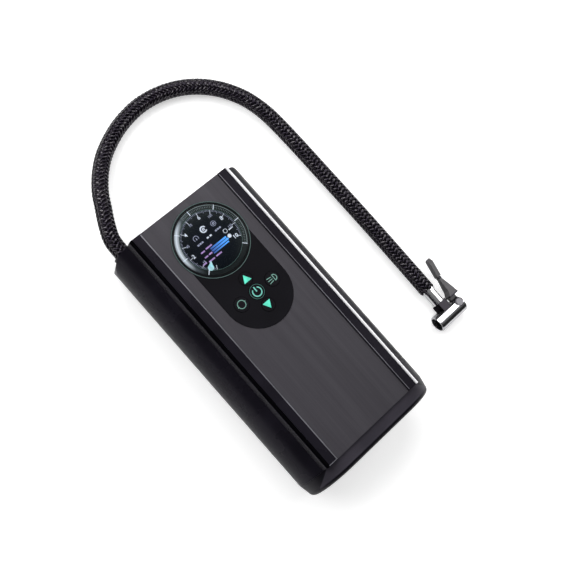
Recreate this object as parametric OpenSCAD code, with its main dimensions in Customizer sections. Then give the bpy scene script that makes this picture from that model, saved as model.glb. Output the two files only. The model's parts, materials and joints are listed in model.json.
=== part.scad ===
// Cordless tire inflator, lying on its back with the display up.
// +X is the right side, +Y the hose end, +Z the front. Z = 0 is the flat back.

/* [Body] */
// Overall length, from the rubber end pad to the hose end
body_l = 163.5; // [160:0.5:190]
// Overall width across the two rounded sides
body_w = 90; // [88:1:100]
// Radius of each rounded side, half the depth there
lobe_r = 23; // [22.5:0.5:25]
// Height of the front face above the rounded sides
front_rise = 2; // [1.5:0.25:3]
// Width of the raised front face
front_w = 68; // [66:1:72]
// Wall of the housing and the back cover
wall = 2; // [1.6:0.1:2.4]
// Height of the joint between the back cover and the housing
split_z = 8; // [7:0.5:9]
// Radius of the two corners at the hose end
corner_r = 6; // [3:0.5:8]
// Length of the bottom end cap with its pad
cap_l = 9.5; // [8:0.5:11]
// Radius of the end cap's outer edge
cap_edge_r = 3; // [2:0.5:4]
// How much the end cap tapers from the joint to its rounded edge
cap_taper = 1.2; // [0.5:0.1:2]
// Thickness of the rubber pad under the end cap
pad_t = 1.6; // [1.2:0.1:2]

/* [Front] */
// Width of the grey front plate
plate_w = 53.6; // [50:0.2:58]
// Thickness of the front plate
plate_t = 1.2; // [0.8:0.1:1.5]
// Depth of the front plate's face below the bands beside it
plate_sink = 0.6; // [0.3:0.1:0.9]
// Width of the shoulder trims
trim_w = 1.6; // [1.2:0.1:2]
// Diameter of the display lens
lens_d = 42.5; // [40:0.5:44]
// Height of the lens's dome
lens_rise = 2.6; // [1:0.1:4]
// Distance of the display's centre from the hose end
display_drop = 25.5; // [24:0.5:28]
// Width of the glossy key pod
pod_w = 39.4; // [38:0.2:42]
// Distance from the display's centre to the power key
pod_drop = 36.5; // [35:0.5:38]
// Thickness of the pod
pod_t = 1.5; // [1.2:0.1:1.7]

/* [Keys] */
// Diameter of the power key
power_key_d = 8.6; // [7:0.2:9.4]
// Diameter of the up and down keys
arrow_key_d = 7.2; // [6:0.2:7.6]
// Diameter of the mode and lamp keys
side_key_d = 8; // [6:0.2:9]
// Distance of the up and down keys from the power key
arrow_pitch = 9; // [8.6:0.1:9.6]
// Distance of the mode and lamp keys from the power key
side_pitch = 11; // [10:0.1:11.6]
// Gap round each key
key_gap = 0.25; // [0.2:0.05:0.4]
// Travel of a key
key_travel = 0.6; // [0.4:0.1:0.7]

/* [Compressor] */
// Height of the motor and crank axes above the back
drive_z = 19; // [18.8:0.2:19.6]
// Diameter of the motor can
motor_d = 27.6; // [24:0.2:28]
// Length of the motor can
motor_l = 38; // [34:1:39]
// Diameter of the motor shaft
shaft_d = 3.2; // [3:0.1:3.5]
// Module of the gear teeth
gear_module = 0.8; // [0.76:0.01:0.82]
// Teeth on the pinion
pinion_teeth = 12;
// Teeth on the crank gear
gear_teeth = 36;
// Width of the crank gear
gear_w = 5; // [4:0.5:5.5]
// Throw of the crank, half the piston's stroke
crank_r = 3.5; // [2.5:0.1:3.6]
// Length of the connecting rod between its centres
rod_l = 30; // [29.8:0.1:30.4]
// Bore of the cylinder
bore_d = 18; // [17.6:0.1:18.6]
// Wall of the cylinder
cylinder_wall = 1.6; // [1.2:0.1:2]
// Outer diameter of the air tube
tube_d = 6.4; // [5.6:0.2:7]

/* [Battery] */
// Diameter of a cell
cell_d = 18.4; // [18:0.1:18.6]
// Length of a cell
cell_l = 65.2; // [64:0.2:65.4]

/* [Hose] */
// Diameter of the braided hose
hose_d = 9.5; // [8:0.1:10]
// Distance of the hose's outlet from the side of the body
hose_inset = 12; // [11.6:0.1:14]
// Height of the hose's outlet above the back
hose_z = 15; // [14:0.1:16]
// Length of the gland outside the housing
gland_l = 3; // [2.9:0.05:3.1]
// Diameter of the gland's flange
gland_d = 12; // [10.6:0.1:12.4]

/* [Chuck] */
// Diameter of the chuck's barrel
barrel_d = 10.4; // [10.2:0.1:11]
// Length of the barrel
barrel_l = 21; // [20.4:0.1:22]
// Bore of the mouth, over a tire valve's thread
mouth_d = 8.4; // [8:0.1:8.8]
// Depth of the mouth
mouth_l = 5.2; // [4.8:0.1:5.4]
// Diameter of the chuck's stem
stem_d = 7.4; // [6.4:0.1:8]
// Length of the stem, from the hose to the barrel
stem_l = 13.8; // [13.6:0.1:14.4]
// Diameter of the lever's pin
lever_pin_d = 2.4; // [1.8:0.1:2.6]
// Length of the lever from its pin
lever_l = 31; // [28:0.5:34]

/* [Hidden] */
$fn = 64;

// small gaps between pieces
fit = 0.1;
seat = 0.05;
running = 0.05;

// body
lobe_x = body_w / 2 - lobe_r;
front_z = 2 * lobe_r + front_rise;
// the origin is at the middle of the housing and 6 mm of the end cap
top_y = (body_l + 6 - cap_l) / 2;
bottom_y = top_y - body_l;
shell_y0 = bottom_y + cap_l;
room_y1 = top_y - wall;
room_r = lobe_r - wall;
room_z1 = 2 * lobe_r - wall;
flank = 1.2;
lip_h = 1.5;

// front face
plate_z = front_z - plate_sink;
seat_z = plate_z - plate_t;
band_x = front_w / 2;
display_y = top_y - display_drop;
pod_y = display_y - pod_drop;
pod_z = seat_z + pod_t;
screen_r = lens_d / 2 - 1.8;
screen_z = plate_z + 0.1;
trim_h = 1.6;

// display board
board_t = 1.6;
board_z = room_z1 - 4 - board_t;
board_x = 26;
board_y0 = pod_y - 22;
board_y1 = display_y + 21.5;
board_post_x = 23.4;
board_post_ys = [board_y0 + 4, board_y1 - 3.5];

// keys
key_z = pod_z + 0.2;
key_flange_z = room_z1 - 0.3;
switch_z = board_z + board_t + 1;
stem_tip_z = switch_z + 0.1 + key_travel;

// hose outlet
hose_x = hose_inset - body_w / 2;

// compressor: everything along Y counts down from the room's hose end
motor_y = room_y1 - 92;
motor_boss_r = 5;
gear_y = motor_y + gear_module * (pinion_teeth + gear_teeth) / 2;
frame_x = 10.5;
frame_t = 2.5;
flange_t = 3;
gear_x = frame_x + frame_t + 1.5;
axle_d = 4;
pin_d = 4;
rod_x = gear_x + gear_w + 4.5;
axle_x1 = gear_x + gear_w / 2 + 0.4;
pin_x0 = axle_x1 + 0.4;
rod_t = 4;
rod_eye_r = 4.4;
small_eye_r = 3;
wrist_d = 3;
wrist_l = 9;
cylinder_y = gear_y + 21.8;
piston_crown_y = gear_y + crank_r + rod_l + small_eye_r + 2 * crank_r + 3.3;
piston_l = 15;
head_y = piston_crown_y + 1;
head_r = 13.6;
plate_valve_t = 2;
head_l = 9;
head_fin_h = 2;
head_fin_pitch = 4;
fin_pitch = 3;
fin_t = 1.2;
outlet_y = head_y + plate_valve_t + 4;
foot_z = 8;
foot_t = 2.4;
foot_w = 8;
foot_y1 = cylinder_y - flange_t - 2.6;
foot_y0 = motor_y - 9.5;
foot_x0 = frame_x + frame_t + 2.5;
foot_x1 = lobe_x + 4.8;
foot_points = [[foot_x0, foot_y1], [foot_x1 + 1.6, foot_y1], [foot_x0, foot_y0], [foot_x1, foot_y0]];
mount_t = 1.6;
mount_d = 6.5;

// air tube
nipple_d = 3.8;
tube_bend = 10;
tube_hole = nipple_d + 2 * fit;
nut_y = room_y1 - 3.5;
nipple_y = outlet_y + tube_bend + 0.3;

// main board
main_z = 9;
main_x0 = -25;
main_x1 = 8;
main_y0 = outlet_y - 45;
main_y1 = room_y1 - 0.6;
port_x = -8;
port_h = 3.2;
port_w = 9;

// lamp
lamp_x = 20;
lamp_z = 30;
lamp_r = 6;

// battery: two cells below and one above, between them
cell_r = cell_d / 2;
cell_z = wall + 1.6 + cell_r + 1.6;
cell_pitch = cell_d + 0.4;
cell_y = shell_y0 + 14;
cell_spots = [[cell_y, cell_z], [cell_y + cell_pitch, cell_z],
              [cell_y + cell_pitch / 2, cell_z + cell_pitch * sin(60)]];
cell_end_y = cell_y + cell_pitch + cell_r;
strip_t = 0.3;
cradle_x = lobe_x - 1;

// screws of the back cover and the end cap
back_screw_x = lobe_x + 11;
back_screws_at = [[-back_screw_x, cell_end_y + 3.5], [back_screw_x, cell_end_y + 3.5],
                  [-back_screw_x, motor_y + 28], [back_screw_x, motor_y + 28],
                  [-back_screw_x, motor_y + 64], [back_screw_x, room_y1 - 8]];
screw_d = 2.8;
boss_r = 3;
cap_screw_x = lobe_x + 16;

// chuck: the hose's far end and the barrel's centre line
hose_route = [
  [hose_x, top_y + gland_l, hose_z], [hose_x + 0.6, top_y + 13, hose_z],
  [hose_x + 4.4, top_y + 22, 14.6], [-24, 110, 13.4], [-18.4, 119.3, 11.6], [-9.7, 129.1, 8.8],
  [0.7, 137.2, 6.6], [15.6, 144.2, 5.2], [30.2, 147.4, 5.2], [42.1, 147.4, 5.2],
  [53.4, 145.1, 5.2], [63.1, 141.1, 5.2], [71.7, 135.4, 5.2], [79.2, 128.1, 5.2],
  [85.2, 119.4, 5.2], [89.4, 110, 5.2], [92.2, 97, 5.2], [93.2, 79, 5.2], [93.5, 60, 5.2],
  [93.8, 34.5, 5.2], [94, 6, 5.2], [93.9, -18, 5.2], [93.6, -43.6, 5.2]
];
hose_sides = 10;
hose_steps = 2;
hose_end = hose_route[len(hose_route) - 1];
stem_x = hose_end[0];
chuck_z = hose_end[2];
barrel_r = barrel_d / 2;
barrel_y = hose_end[1] - stem_l - barrel_r;
mouth_x = stem_x - 10;
tail_x = mouth_x + barrel_l;
gasket_l = 2.4;
gasket_x = mouth_x + mouth_l;
gasket_r = mouth_d / 2 + 0.25;
chamber_d = 6.6;
chamber_x = gasket_x + gasket_l;
plunger_x = chamber_x + 1.6;
plunger_l = 5.4;
chamber_end = tail_x - 6;
pivot = [tail_x - 2.8, barrel_y + 1.4];
pin_head_d = 4.4;
pin_head_z = chuck_z + 3.4;
slot_w = 3.2;
tongue_t = slot_w - 2 * fit;

// ---- helpers: extrusions along an axis, from one coordinate to another ----

module along_x(x0, x1) {
  translate([x0, 0, 0])
    rotate([90, 0, 90])
      linear_extrude(x1 - x0)
        children();
}

module along_y(y0, y1) {
  translate([0, y1, 0])
    rotate([90, 0, 0])
      linear_extrude(y1 - y0)
        children();
}

module along_z(z0, z1) {
  translate([0, 0, z0])
    linear_extrude(z1 - z0)
      children();
}

module rod_x(x0, x1, y, z, r) {
  translate([x0, y, z])
    rotate([0, 90, 0])
      cylinder(h = x1 - x0, r = r);
}

module rod_y(y0, y1, x, z, r) {
  translate([x, y0, z])
    rotate([-90, 0, 0])
      cylinder(h = y1 - y0, r = r);
}

module rod_z(z0, z1, x, y, r) {
  translate([x, y, z0])
    cylinder(h = z1 - z0, r = r);
}

// cross-section of the body without its raised front, in X and Z
module lobes_2d(r) {
  for (side = [-1, 1])
    translate([side * lobe_x, lobe_r])
      circle(r);
  translate([-lobe_x, lobe_r - r])
    square([2 * lobe_x, 2 * r]);
}

// height of the rounded side's top at a given x
function lobe_top(x) = lobe_r + sqrt(lobe_r * lobe_r - (x - lobe_x) * (x - lobe_x));

// the raised front face and its two flanks
module front_2d() {
  foot_x = band_x + flank;
  polygon([
    [-band_x, front_z], [band_x, front_z], [foot_x, lobe_top(foot_x)],
    [foot_x - 2, room_z1 - 3], [2 - foot_x, room_z1 - 3], [-foot_x, lobe_top(foot_x)]
  ]);
}

// plan of the body, with its two corners at the hose end rounded
module plan_2d(inset) {
  w = body_w / 2 - inset;
  y1 = top_y - inset;
  r = max(corner_r - inset, 0.5);
  translate([-w, bottom_y - 5])
    square([2 * w, y1 - r - bottom_y + 5]);
  translate([-w + r, bottom_y])
    square([2 * (w - r), y1 - bottom_y]);
  for (side = [-1, 1])
    translate([side * (w - r), y1 - r])
      circle(r);
}

module outer_body() {
  intersection() {
    union() {
      along_y(shell_y0, top_y) lobes_2d(lobe_r);
      along_y(shell_y0, top_y) front_2d();
    }
    along_z(-1, front_z + 1) plan_2d(0);
  }
}

module room() {
  intersection() {
    along_y(shell_y0 - 1, room_y1) lobes_2d(room_r);
    along_z(-1, front_z + 1) plan_2d(wall);
  }
}

module pod_2d(inset) {
  r = pod_w / 2 - inset;
  difference() {
    union() {
      translate([0, pod_y])
        circle(r);
      translate([-r, pod_y])
        square([2 * r, display_y - pod_y - 6]);
    }
    translate([0, display_y])
      circle(lens_d / 2 + fit + inset);
  }
}

function key_at(name) =
  name == "power" ? [0, pod_y] :
  name == "up" ? [0, pod_y + arrow_pitch] :
  name == "down" ? [0, pod_y - arrow_pitch] :
  name == "mode" ? [-side_pitch, pod_y] : [side_pitch, pod_y];

function key_d(name) =
  name == "power" ? power_key_d :
  name == "up" || name == "down" ? arrow_key_d : side_key_d;

KEYS = ["power", "up", "down", "mode", "lamp"];

module key_holes(z0, z1, gap) {
  for (name = KEYS) {
    at = key_at(name);
    rod_z(z0, z1, at[0], at[1], key_d(name) / 2 + gap);
  }
}

// ---- casing ----

module housing() {
  color([0.13, 0.13, 0.15])
    difference() {
      intersection() {
        outer_body();
        translate([-body_w, -body_l, split_z + seat])
          cube([2 * body_w, 2 * body_l, front_z]);
      }
      difference() {
        room();
        housing_inside();
      }
      housing_cuts();
    }
}

module housing_inside() {
  for (at = back_screws_at)
    rod_z(0, front_z, at[0], at[1], boss_r);
  for (x = [-board_post_x, board_post_x])
    for (y = board_post_ys)
      rod_z(board_z + board_t, front_z, x, y, 2.4);
  for (side = [-1, 1]) {
    rod_y(shell_y0, shell_y0 + 14, side * cap_screw_x, lobe_r, boss_r + 0.2);
    translate([side > 0 ? cap_screw_x : -body_w / 2, shell_y0, lobe_r - 1.2])
      cube([body_w / 2 - cap_screw_x, 14, 2.4]);
  }
}

module housing_cuts() {
  // recess of the front plate, and the display's and the keys' openings
  translate([-plate_w / 2 - fit, shell_y0 - 1, seat_z])
    cube([plate_w + 2 * fit, body_l, front_z]);
  rod_z(room_z1 - 1, front_z, 0, display_y, screen_r + fit);
  key_holes(room_z1 - 1, front_z, key_gap + 0.1);
  // rebates of the shoulder trims
  for (side = [-1, 1])
    translate([side > 0 ? band_x - trim_w - seat : -band_x - 1, shell_y0 - 1, front_z - trim_h])
      cube([trim_w + 1 + seat, body_l, trim_h + 1]);
  // pilot holes of the screws
  for (at = back_screws_at)
    rod_z(0, split_z + 14, at[0], at[1], screw_d / 2 + fit);
  for (x = [-board_post_x, board_post_x])
    for (y = board_post_ys)
      rod_z(board_z, room_z1 + 0.6, x, y, 1 + seat);
  for (side = [-1, 1])
    rod_y(shell_y0 - 1, shell_y0 + 12, side * cap_screw_x, lobe_r, screw_d / 2 + fit);
  // gland, charging port and lamp in the end wall
  rod_y(room_y1 - 1, top_y + 1, hose_x, hose_z, gland_d / 2 - 1 + fit);
  translate([port_x - port_w / 2 - 0.3, room_y1 - 1, main_z + board_t - 0.2])
    cube([port_w + 0.6, wall + 2, port_h + 0.4]);
  rod_y(room_y1 - 1, top_y + 1, lamp_x, lamp_z, lamp_r + fit);
}

module back_cover() {
  color([0.12, 0.12, 0.14])
    difference() {
      union() {
        difference() {
          intersection() {
            outer_body();
            translate([-body_w, -body_l, -1])
              cube([2 * body_w, 2 * body_l, split_z + 1]);
          }
          room();
        }
        back_lip();
        intersection() {
          for (at = back_screws_at)
            rod_z(0, split_z, at[0], at[1], boss_r + 1.4);
          outer_body();
        }
        intersection() {
          cover_posts();
          outer_body();
        }
      }
      for (at = back_screws_at) {
        rod_z(-1, split_z + 1, at[0], at[1], screw_d / 2 + 0.2);
        rod_z(-1, split_z - 3, at[0], at[1], screw_d + 0.2);
      }
      for (at = foot_points)
        rod_z(wall + 0.6, foot_z, at[0], at[1], 1.25 + fit);
      back_vents();
    }
}

// tongue that stands inside the housing's wall along both sides, clear of the cells
module back_lip() {
  difference() {
    union() {
      lip_band(room_r + 0.5, split_z - 2, split_z);
      lip_band(room_r - fit, split_z - 2, split_z + lip_h);
    }
    for (at = back_screws_at)
      rod_z(0, front_z, at[0], at[1], boss_r + 0.3);
  }
}

module lip_band(r, z0, z1) {
  intersection() {
    difference() {
      along_y(cell_end_y + 1, room_y1 - 6) lobes_2d(r);
      along_y(cell_end_y, room_y1) lobes_2d(room_r - 1.3);
    }
    translate([-body_w, -body_l, z0])
      cube([2 * body_w, 2 * body_l, z1 - z0]);
  }
}

module cover_posts() {
  for (at = foot_points)
    rod_z(wall - 0.5, foot_z - mount_t, at[0], at[1], mount_d / 2);
  for (x = [main_x0 + 3, main_x1 - 3])
    for (y = [main_y0 + 3, main_y1 - 5])
      rod_z(wall - 0.5, main_z, x, y, 2);
}

// slots that let the motor's air in through the flat back
module back_vents() {
  for (i = [0:6])
    translate([-19 + i * 5, motor_y - 8, -1])
      cube([2, 16, wall + 2]);
}

module back_screws() {
  color([0.25, 0.25, 0.27])
    for (at = back_screws_at)
      difference() {
        union() {
          rod_z(split_z - 3, split_z + 12, at[0], at[1], screw_d / 2);
          rod_z(split_z - 5, split_z - 3, at[0], at[1], screw_d);
        }
        rod_z(split_z - 6, split_z - 4, at[0], at[1], 1);
      }
}

module front_plate() {
  color([0.30, 0.30, 0.33])
    difference() {
      translate([-plate_w / 2, shell_y0, seat_z])
        cube([plate_w, top_y - shell_y0, plate_t]);
      rod_z(seat_z - 1, front_z + 1, 0, display_y, lens_d / 2 + fit);
      along_z(seat_z - 1, front_z + 1) pod_2d(-fit);
    }
}

module shoulder_trim(side) {
  w = trim_w - seat;
  translate([side * (band_x - trim_w / 2), 0, 0]) {
    along_y(shell_y0, top_y)
      translate([-w / 2, front_z - trim_h])
        square([w, trim_h - w / 4]);
    along_y(shell_y0, top_y)
      translate([0, front_z - w / 4])
        circle(w / 2);
  }
}

module trim_left() { color([0.08, 0.08, 0.09]) shoulder_trim(-1); }

module trim_right() { color([0.85, 0.85, 0.87]) shoulder_trim(1); }

// a quarter-rounded disc edge swept round each lobe and along the straight middle
module cap_profile(y0, y1, r, edge) {
  union() {
    for (side = [-1, 1])
      translate([side * lobe_x, y1, lobe_r])
        rotate([90, 0, 0])
          rotate_extrude()
            cap_edge_2d(y1 - y0, r, edge);
    along_x(-lobe_x, lobe_x)
      translate([0, lobe_r])
        cap_section_2d(y0, y1, r, edge);
  }
}

module cap_edge_2d(h, r, edge) {
  end_r = r - cap_taper;
  square([end_r - edge, h]);
  polygon([[0, 0], [r, 0], [end_r, h - edge], [0, h - edge]]);
  translate([end_r - edge, h - edge])
    circle(edge);
}

module cap_section_2d(y0, y1, r, edge) {
  end_r = r - cap_taper;
  translate([y0, edge - end_r])
    square([y1 - y0, 2 * (end_r - edge)]);
  polygon([[y1, -r], [y1, r], [y0 + edge, end_r], [y0 + edge, -end_r]]);
  for (side = [-1, 1])
    translate([y0 + edge, side * (end_r - edge)])
      circle(edge);
}

module bottom_cap() {
  face_y = bottom_y + 0.6;
  color([0.20, 0.20, 0.22])
    difference() {
      union() {
        intersection() {
          cap_profile(face_y, shell_y0, lobe_r, cap_edge_r);
          translate([-body_w, bottom_y - 1, -1])
            cube([2 * body_w, shell_y0 - seat - bottom_y + 1, front_z + 2]);
        }
        difference() {
          along_y(shell_y0 - 1, shell_y0 + 3) lobes_2d(room_r - fit);
          along_y(shell_y0 - 2, shell_y0 + 4) lobes_2d(room_r - 1.7);
          for (side = [-1, 1])
            rod_y(shell_y0 - seat, shell_y0 + 4, side * (cap_screw_x + 1), lobe_r, boss_r + 2);
        }
      }
      along_y(bottom_y + 3.6, shell_y0 + 4) lobes_2d(room_r - 6.5);
      along_y(bottom_y - 1, bottom_y + pad_t + seat) pad_2d(fit);
      for (side = [-1, 1]) {
        rod_y(bottom_y - 1, shell_y0 + 1, side * cap_screw_x, lobe_r, screw_d / 2 + 0.2);
        rod_y(bottom_y - 1, bottom_y + 3, side * cap_screw_x, lobe_r, screw_d + 0.2);
      }
    }
}

module pad_2d(gap) {
  lobes_2d_at(lobe_r - 11 + gap, lobe_x);
}

module lobes_2d_at(r, half) {
  for (side = [-1, 1])
    translate([side * half, lobe_r])
      circle(r);
  translate([-half, lobe_r - r])
    square([2 * half, 2 * r]);
}

module cap_screws() {
  color([0.25, 0.25, 0.27])
    for (side = [-1, 1])
      difference() {
        union() {
          rod_y(bottom_y + 3, shell_y0 + 10, side * cap_screw_x, lobe_r, screw_d / 2);
          rod_y(bottom_y + 1.2, bottom_y + 3, side * cap_screw_x, lobe_r, screw_d);
        }
        rod_y(bottom_y, bottom_y + 2.2, side * cap_screw_x, lobe_r, 1);
      }
}

module base_pad() {
  color([0.06, 0.06, 0.06])
    along_y(bottom_y, bottom_y + pad_t) pad_2d(0);
}

// ---- display and keys ----

// height of the lens's face above its rim at radius r
function dome(r) = lens_rise * pow(1 - pow(r * 2 / lens_d, 3.2), 0.5);

module display_lens() {
  rim = 0.7;
  steps = 12;
  z0 = screen_z + 0.1;
  color([0.5, 0.6, 0.65, 0.35])
    translate([0, display_y, z0])
      rotate_extrude()
        polygon(concat(
          [[0, 0], [lens_d / 2, 0]],
          [for (i = [0:steps]) let (r = lens_d / 2 * cos(90 * i / steps)) [r, rim + dome(r)]]
        ));
}

module display_bezel() {
  color([0.05, 0.05, 0.06])
    translate([0, display_y, seat_z])
      difference() {
        cylinder(h = screen_z + 0.1 - seat_z, r = lens_d / 2);
        translate([0, 0, -1])
          cylinder(h = 5, r = screen_r + fit);
      }
}

module display_module() {
  color([0.03, 0.04, 0.10]) {
    rod_z(board_z + board_t + 2.8, screen_z, 0, display_y, screen_r);
    translate([-20, display_y - 20, board_z + board_t])
      cube([40, 40, 2.8]);
  }
}

module key_pod() {
  color([0.04, 0.04, 0.05])
    difference() {
      along_z(seat_z, pod_z) pod_2d(0);
      key_holes(seat_z - 1, pod_z + 1, key_gap);
    }
}

// a key: cap through the pod, flange behind the housing's wall, and a short stem
module key_cap(name) {
  at = key_at(name);
  r = key_d(name) / 2;
  color([0.05, 0.05, 0.06])
    translate([at[0], at[1], 0]) {
      rod_z(key_flange_z - 0.8, key_z, 0, 0, r);
      rod_z(key_flange_z - 0.8, key_flange_z, 0, 0, min(r + 0.7, arrow_pitch / 2 - 0.1));
      rod_z(stem_tip_z, key_flange_z - 0.7, 0, 0, 1.5);
      // the middle key has no room for a full flange, so ears hold it
      if (name == "power")
        for (a = [45, 135])
          rotate(a)
            translate([-r - 1, -1.2, key_flange_z - 0.8])
              cube([2 * r + 2, 2.4, 0.8]);
    }
}

module key_power() { key_cap("power"); }

module key_up() { key_cap("up"); }

module key_down() { key_cap("down"); }

module key_mode() { key_cap("mode"); }

module key_lamp() { key_cap("lamp"); }

module key_switches() {
  color([0.7, 0.7, 0.72])
    for (name = KEYS) {
      at = key_at(name);
      translate([at[0] - 2.5, at[1] - 2.5, board_z + board_t])
        cube([5, 5, switch_z - board_z - board_t - 0.3]);
      rod_z(board_z + board_t, switch_z, at[0], at[1], 1.6);
    }
}

module display_board() {
  color([0.05, 0.30, 0.16])
    difference() {
      translate([-board_x, board_y0, board_z])
        cube([2 * board_x, board_y1 - board_y0, board_t]);
      for (x = [-board_post_x, board_post_x])
        for (y = board_post_ys)
          rod_z(board_z - 1, board_z + board_t + 1, x, y, 1.15);
    }
}

module board_screws() {
  color([0.7, 0.7, 0.72])
    for (x = [-board_post_x, board_post_x])
      for (y = board_post_ys) {
        rod_z(board_z, room_z1, x, y, 1);
        rod_z(board_z - 1.4, board_z, x, y, 1.9);
      }
}

// ---- electronics at the hose end ----

module main_board() {
  color([0.05, 0.30, 0.16])
    translate([main_x0, main_y0, main_z])
      cube([main_x1 - main_x0, main_y1 - main_y0, board_t]);
}

module charging_port() {
  z = main_z + board_t + port_h / 2;
  color([0.7, 0.7, 0.72])
    difference() {
      port_shell(top_y - 8.4, top_y - 0.6, port_w, port_h);
      port_shell(top_y - 7.4, top_y + 1, port_w - 0.7, port_h - 0.7);
    }
  color([0.1, 0.1, 0.1])
    translate([port_x - 3.2, top_y - 7.4, z - 0.35])
      cube([6.4, 5, 0.7]);
}

module port_shell(y0, y1, w, h) {
  z = main_z + board_t + port_h / 2;
  along_y(y0, y1) {
    for (side = [-1, 1])
      translate([port_x + side * (w - h) / 2, z])
        circle(h / 2);
    translate([port_x - (w - h) / 2, z - h / 2])
      square([w - h, h]);
  }
}

module lamp_lens() {
  color([0.9, 0.9, 0.85, 0.6]) {
    rod_y(room_y1 - 0.1, top_y, lamp_x, lamp_z, lamp_r);
    rod_y(room_y1 - 1.5, room_y1, lamp_x, lamp_z, lamp_r + 1.2);
  }
}

module lamp_board() {
  y = room_y1 - 3 - board_t;
  color([0.9, 0.9, 0.9])
    union() {
      translate([lamp_x - lamp_r - 2, y, lamp_z - lamp_r - 1])
        cube([2 * lamp_r + 4, board_t, 2 * lamp_r + 2]);
      rod_y(y + board_t, room_y1 - 1.6, lamp_x, lamp_z, lamp_r * 0.4);
      for (side = [-1, 1])
        translate([lamp_x + side * (lamp_r + 1.6) - 0.4, y, lamp_z - 2])
          cube([0.8, room_y1 - y, 4]);
    }
}

// ---- compressor ----

module motor_can() {
  x0 = frame_x - motor_l;
  color([0.75, 0.75, 0.78])
    difference() {
      union() {
        rod_x(x0, frame_x, motor_y, drive_z, motor_d / 2);
        rod_x(frame_x, frame_x + frame_t, motor_y, drive_z, motor_boss_r);
      }
      rod_x(x0 - 1, frame_x + frame_t + 1, motor_y, drive_z, shaft_d / 2 + running);
    }
}

module motor_end_cap() {
  x0 = frame_x - motor_l;
  color([0.1, 0.1, 0.1])
    difference() {
      union() {
        rod_x(x0 - 3, x0, motor_y, drive_z, motor_d / 2 - 3);
        rod_x(x0 - 4.5, x0 - 3, motor_y, drive_z, 4);
        for (side = [-1, 1])
          translate([x0 - 6, motor_y - 0.4, drive_z + side * 9 - 1.5])
            cube([4, 0.8, 3]);
      }
      rod_x(x0 - 10, x0 + 1, motor_y, drive_z, shaft_d / 2 + running);
    }
}

module motor_shaft() {
  x0 = frame_x - motor_l;
  color([0.8, 0.8, 0.82])
    rod_x(x0 - 5.5, gear_x + gear_w + 0.8, motor_y, drive_z, shaft_d / 2);
}

// outline of a spur gear with involute flanks and stub teeth, one tooth centred on +X
function inv(a) = tan(a) * 180 / PI - a;
function half_tooth(teeth, r) =
  let (rp = gear_module * teeth / 2, rb = rp * cos(20), backlash = 0.06 / rp * 180 / PI)
  90 / teeth - backlash + inv(20) - inv(acos(min(rb / r, 1)));
function gear_outline(teeth) =
  let (
    rp = gear_module * teeth / 2,
    ra = rp + 0.8 * gear_module,
    rf = rp - 1.15 * gear_module,
    rs = max(rf, rp * cos(20)),
    flanks = [rs, rs + (ra - rs) * 0.45, ra]
  )
  [for (i = [0:teeth - 1]) each concat(
    [let (a = i * 360 / teeth - half_tooth(teeth, rs)) rf * [cos(a), sin(a)]],
    [for (r = flanks) let (a = i * 360 / teeth - half_tooth(teeth, r)) r * [cos(a), sin(a)]],
    [for (k = [2:-1:0]) let (r = flanks[k], a = i * 360 / teeth + half_tooth(teeth, r))
      r * [cos(a), sin(a)]],
    [let (a = i * 360 / teeth + half_tooth(teeth, rs)) rf * [cos(a), sin(a)]]
  )];

module pinion() {
  color([0.85, 0.75, 0.4])
    difference() {
      along_x(gear_x - 0.8, gear_x + gear_w + 0.5)
        translate([motor_y, drive_z])
          polygon(gear_outline(pinion_teeth));
      rod_x(gear_x - 2, gear_x + gear_w + 2, motor_y, drive_z, shaft_d / 2);
    }
}

// an L-shaped casting: a wall that carries the motor and the gear's axle, and a flange for the cylinder
module compressor_frame() {
  wall_x1 = frame_x + frame_t;
  flange_y = cylinder_y - flange_t;
  color([0.55, 0.56, 0.58])
    difference() {
      union() {
        rod_x(frame_x, wall_x1, motor_y, drive_z, motor_d / 2 + 0.6);
        translate([frame_x, motor_y, foot_z])
          cube([frame_t, cylinder_y - motor_y, 2 * (drive_z - foot_z)]);
        rod_x(frame_x - 2, gear_x - 0.3, gear_y, drive_z, 4.5);
        rod_y(flange_y, cylinder_y, rod_x, drive_z, head_r);
        translate([frame_x, flange_y, foot_z])
          cube([rod_x - frame_x, flange_t, 2 * (drive_z - foot_z)]);
        translate([frame_x, foot_y1 - foot_w / 2, foot_z])
          cube([rod_x + 9 - frame_x, cylinder_y - foot_y1 + foot_w / 2, foot_t]);
        translate([frame_x, foot_y0 - foot_w / 2, foot_z])
          cube([foot_x1 + 2.6 - frame_x, foot_w, foot_t]);
      }
      rod_x(frame_x - 1, wall_x1 + 1, motor_y, drive_z, motor_boss_r + fit);
      rod_x(frame_x - 5, wall_x1 + 5, gear_y, drive_z, axle_d / 2 + seat);
      rod_y(flange_y - 1, cylinder_y + 1, rod_x, drive_z, bore_d / 2 + 0.4);
      for (at = foot_points) {
        rod_z(foot_z - 1, foot_z + foot_t + 1, at[0], at[1], 1.25 + fit);
        rod_z(foot_z - mount_t - 1, foot_z, at[0], at[1], mount_d / 2 + fit);
      }
      // the crank turns through the corner of the L
      rod_x(wall_x1, rod_x + 20, gear_y, drive_z, gear_module * (gear_teeth / 2 + 0.8) + 0.5);
      // nothing of the cylinder's flange reaches below the feet
      translate([wall_x1, flange_y - 5, foot_z - 10])
        cube([2 * head_r, 10, 10]);
    }
}

module gear_axle() {
  color([0.8, 0.8, 0.82]) {
    rod_x(frame_x - 3, axle_x1, gear_y, drive_z, axle_d / 2);
    rod_x(frame_x - 4.5, frame_x - 2.6, gear_y, drive_z, axle_d / 2 + 1.4);
  }
}

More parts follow.
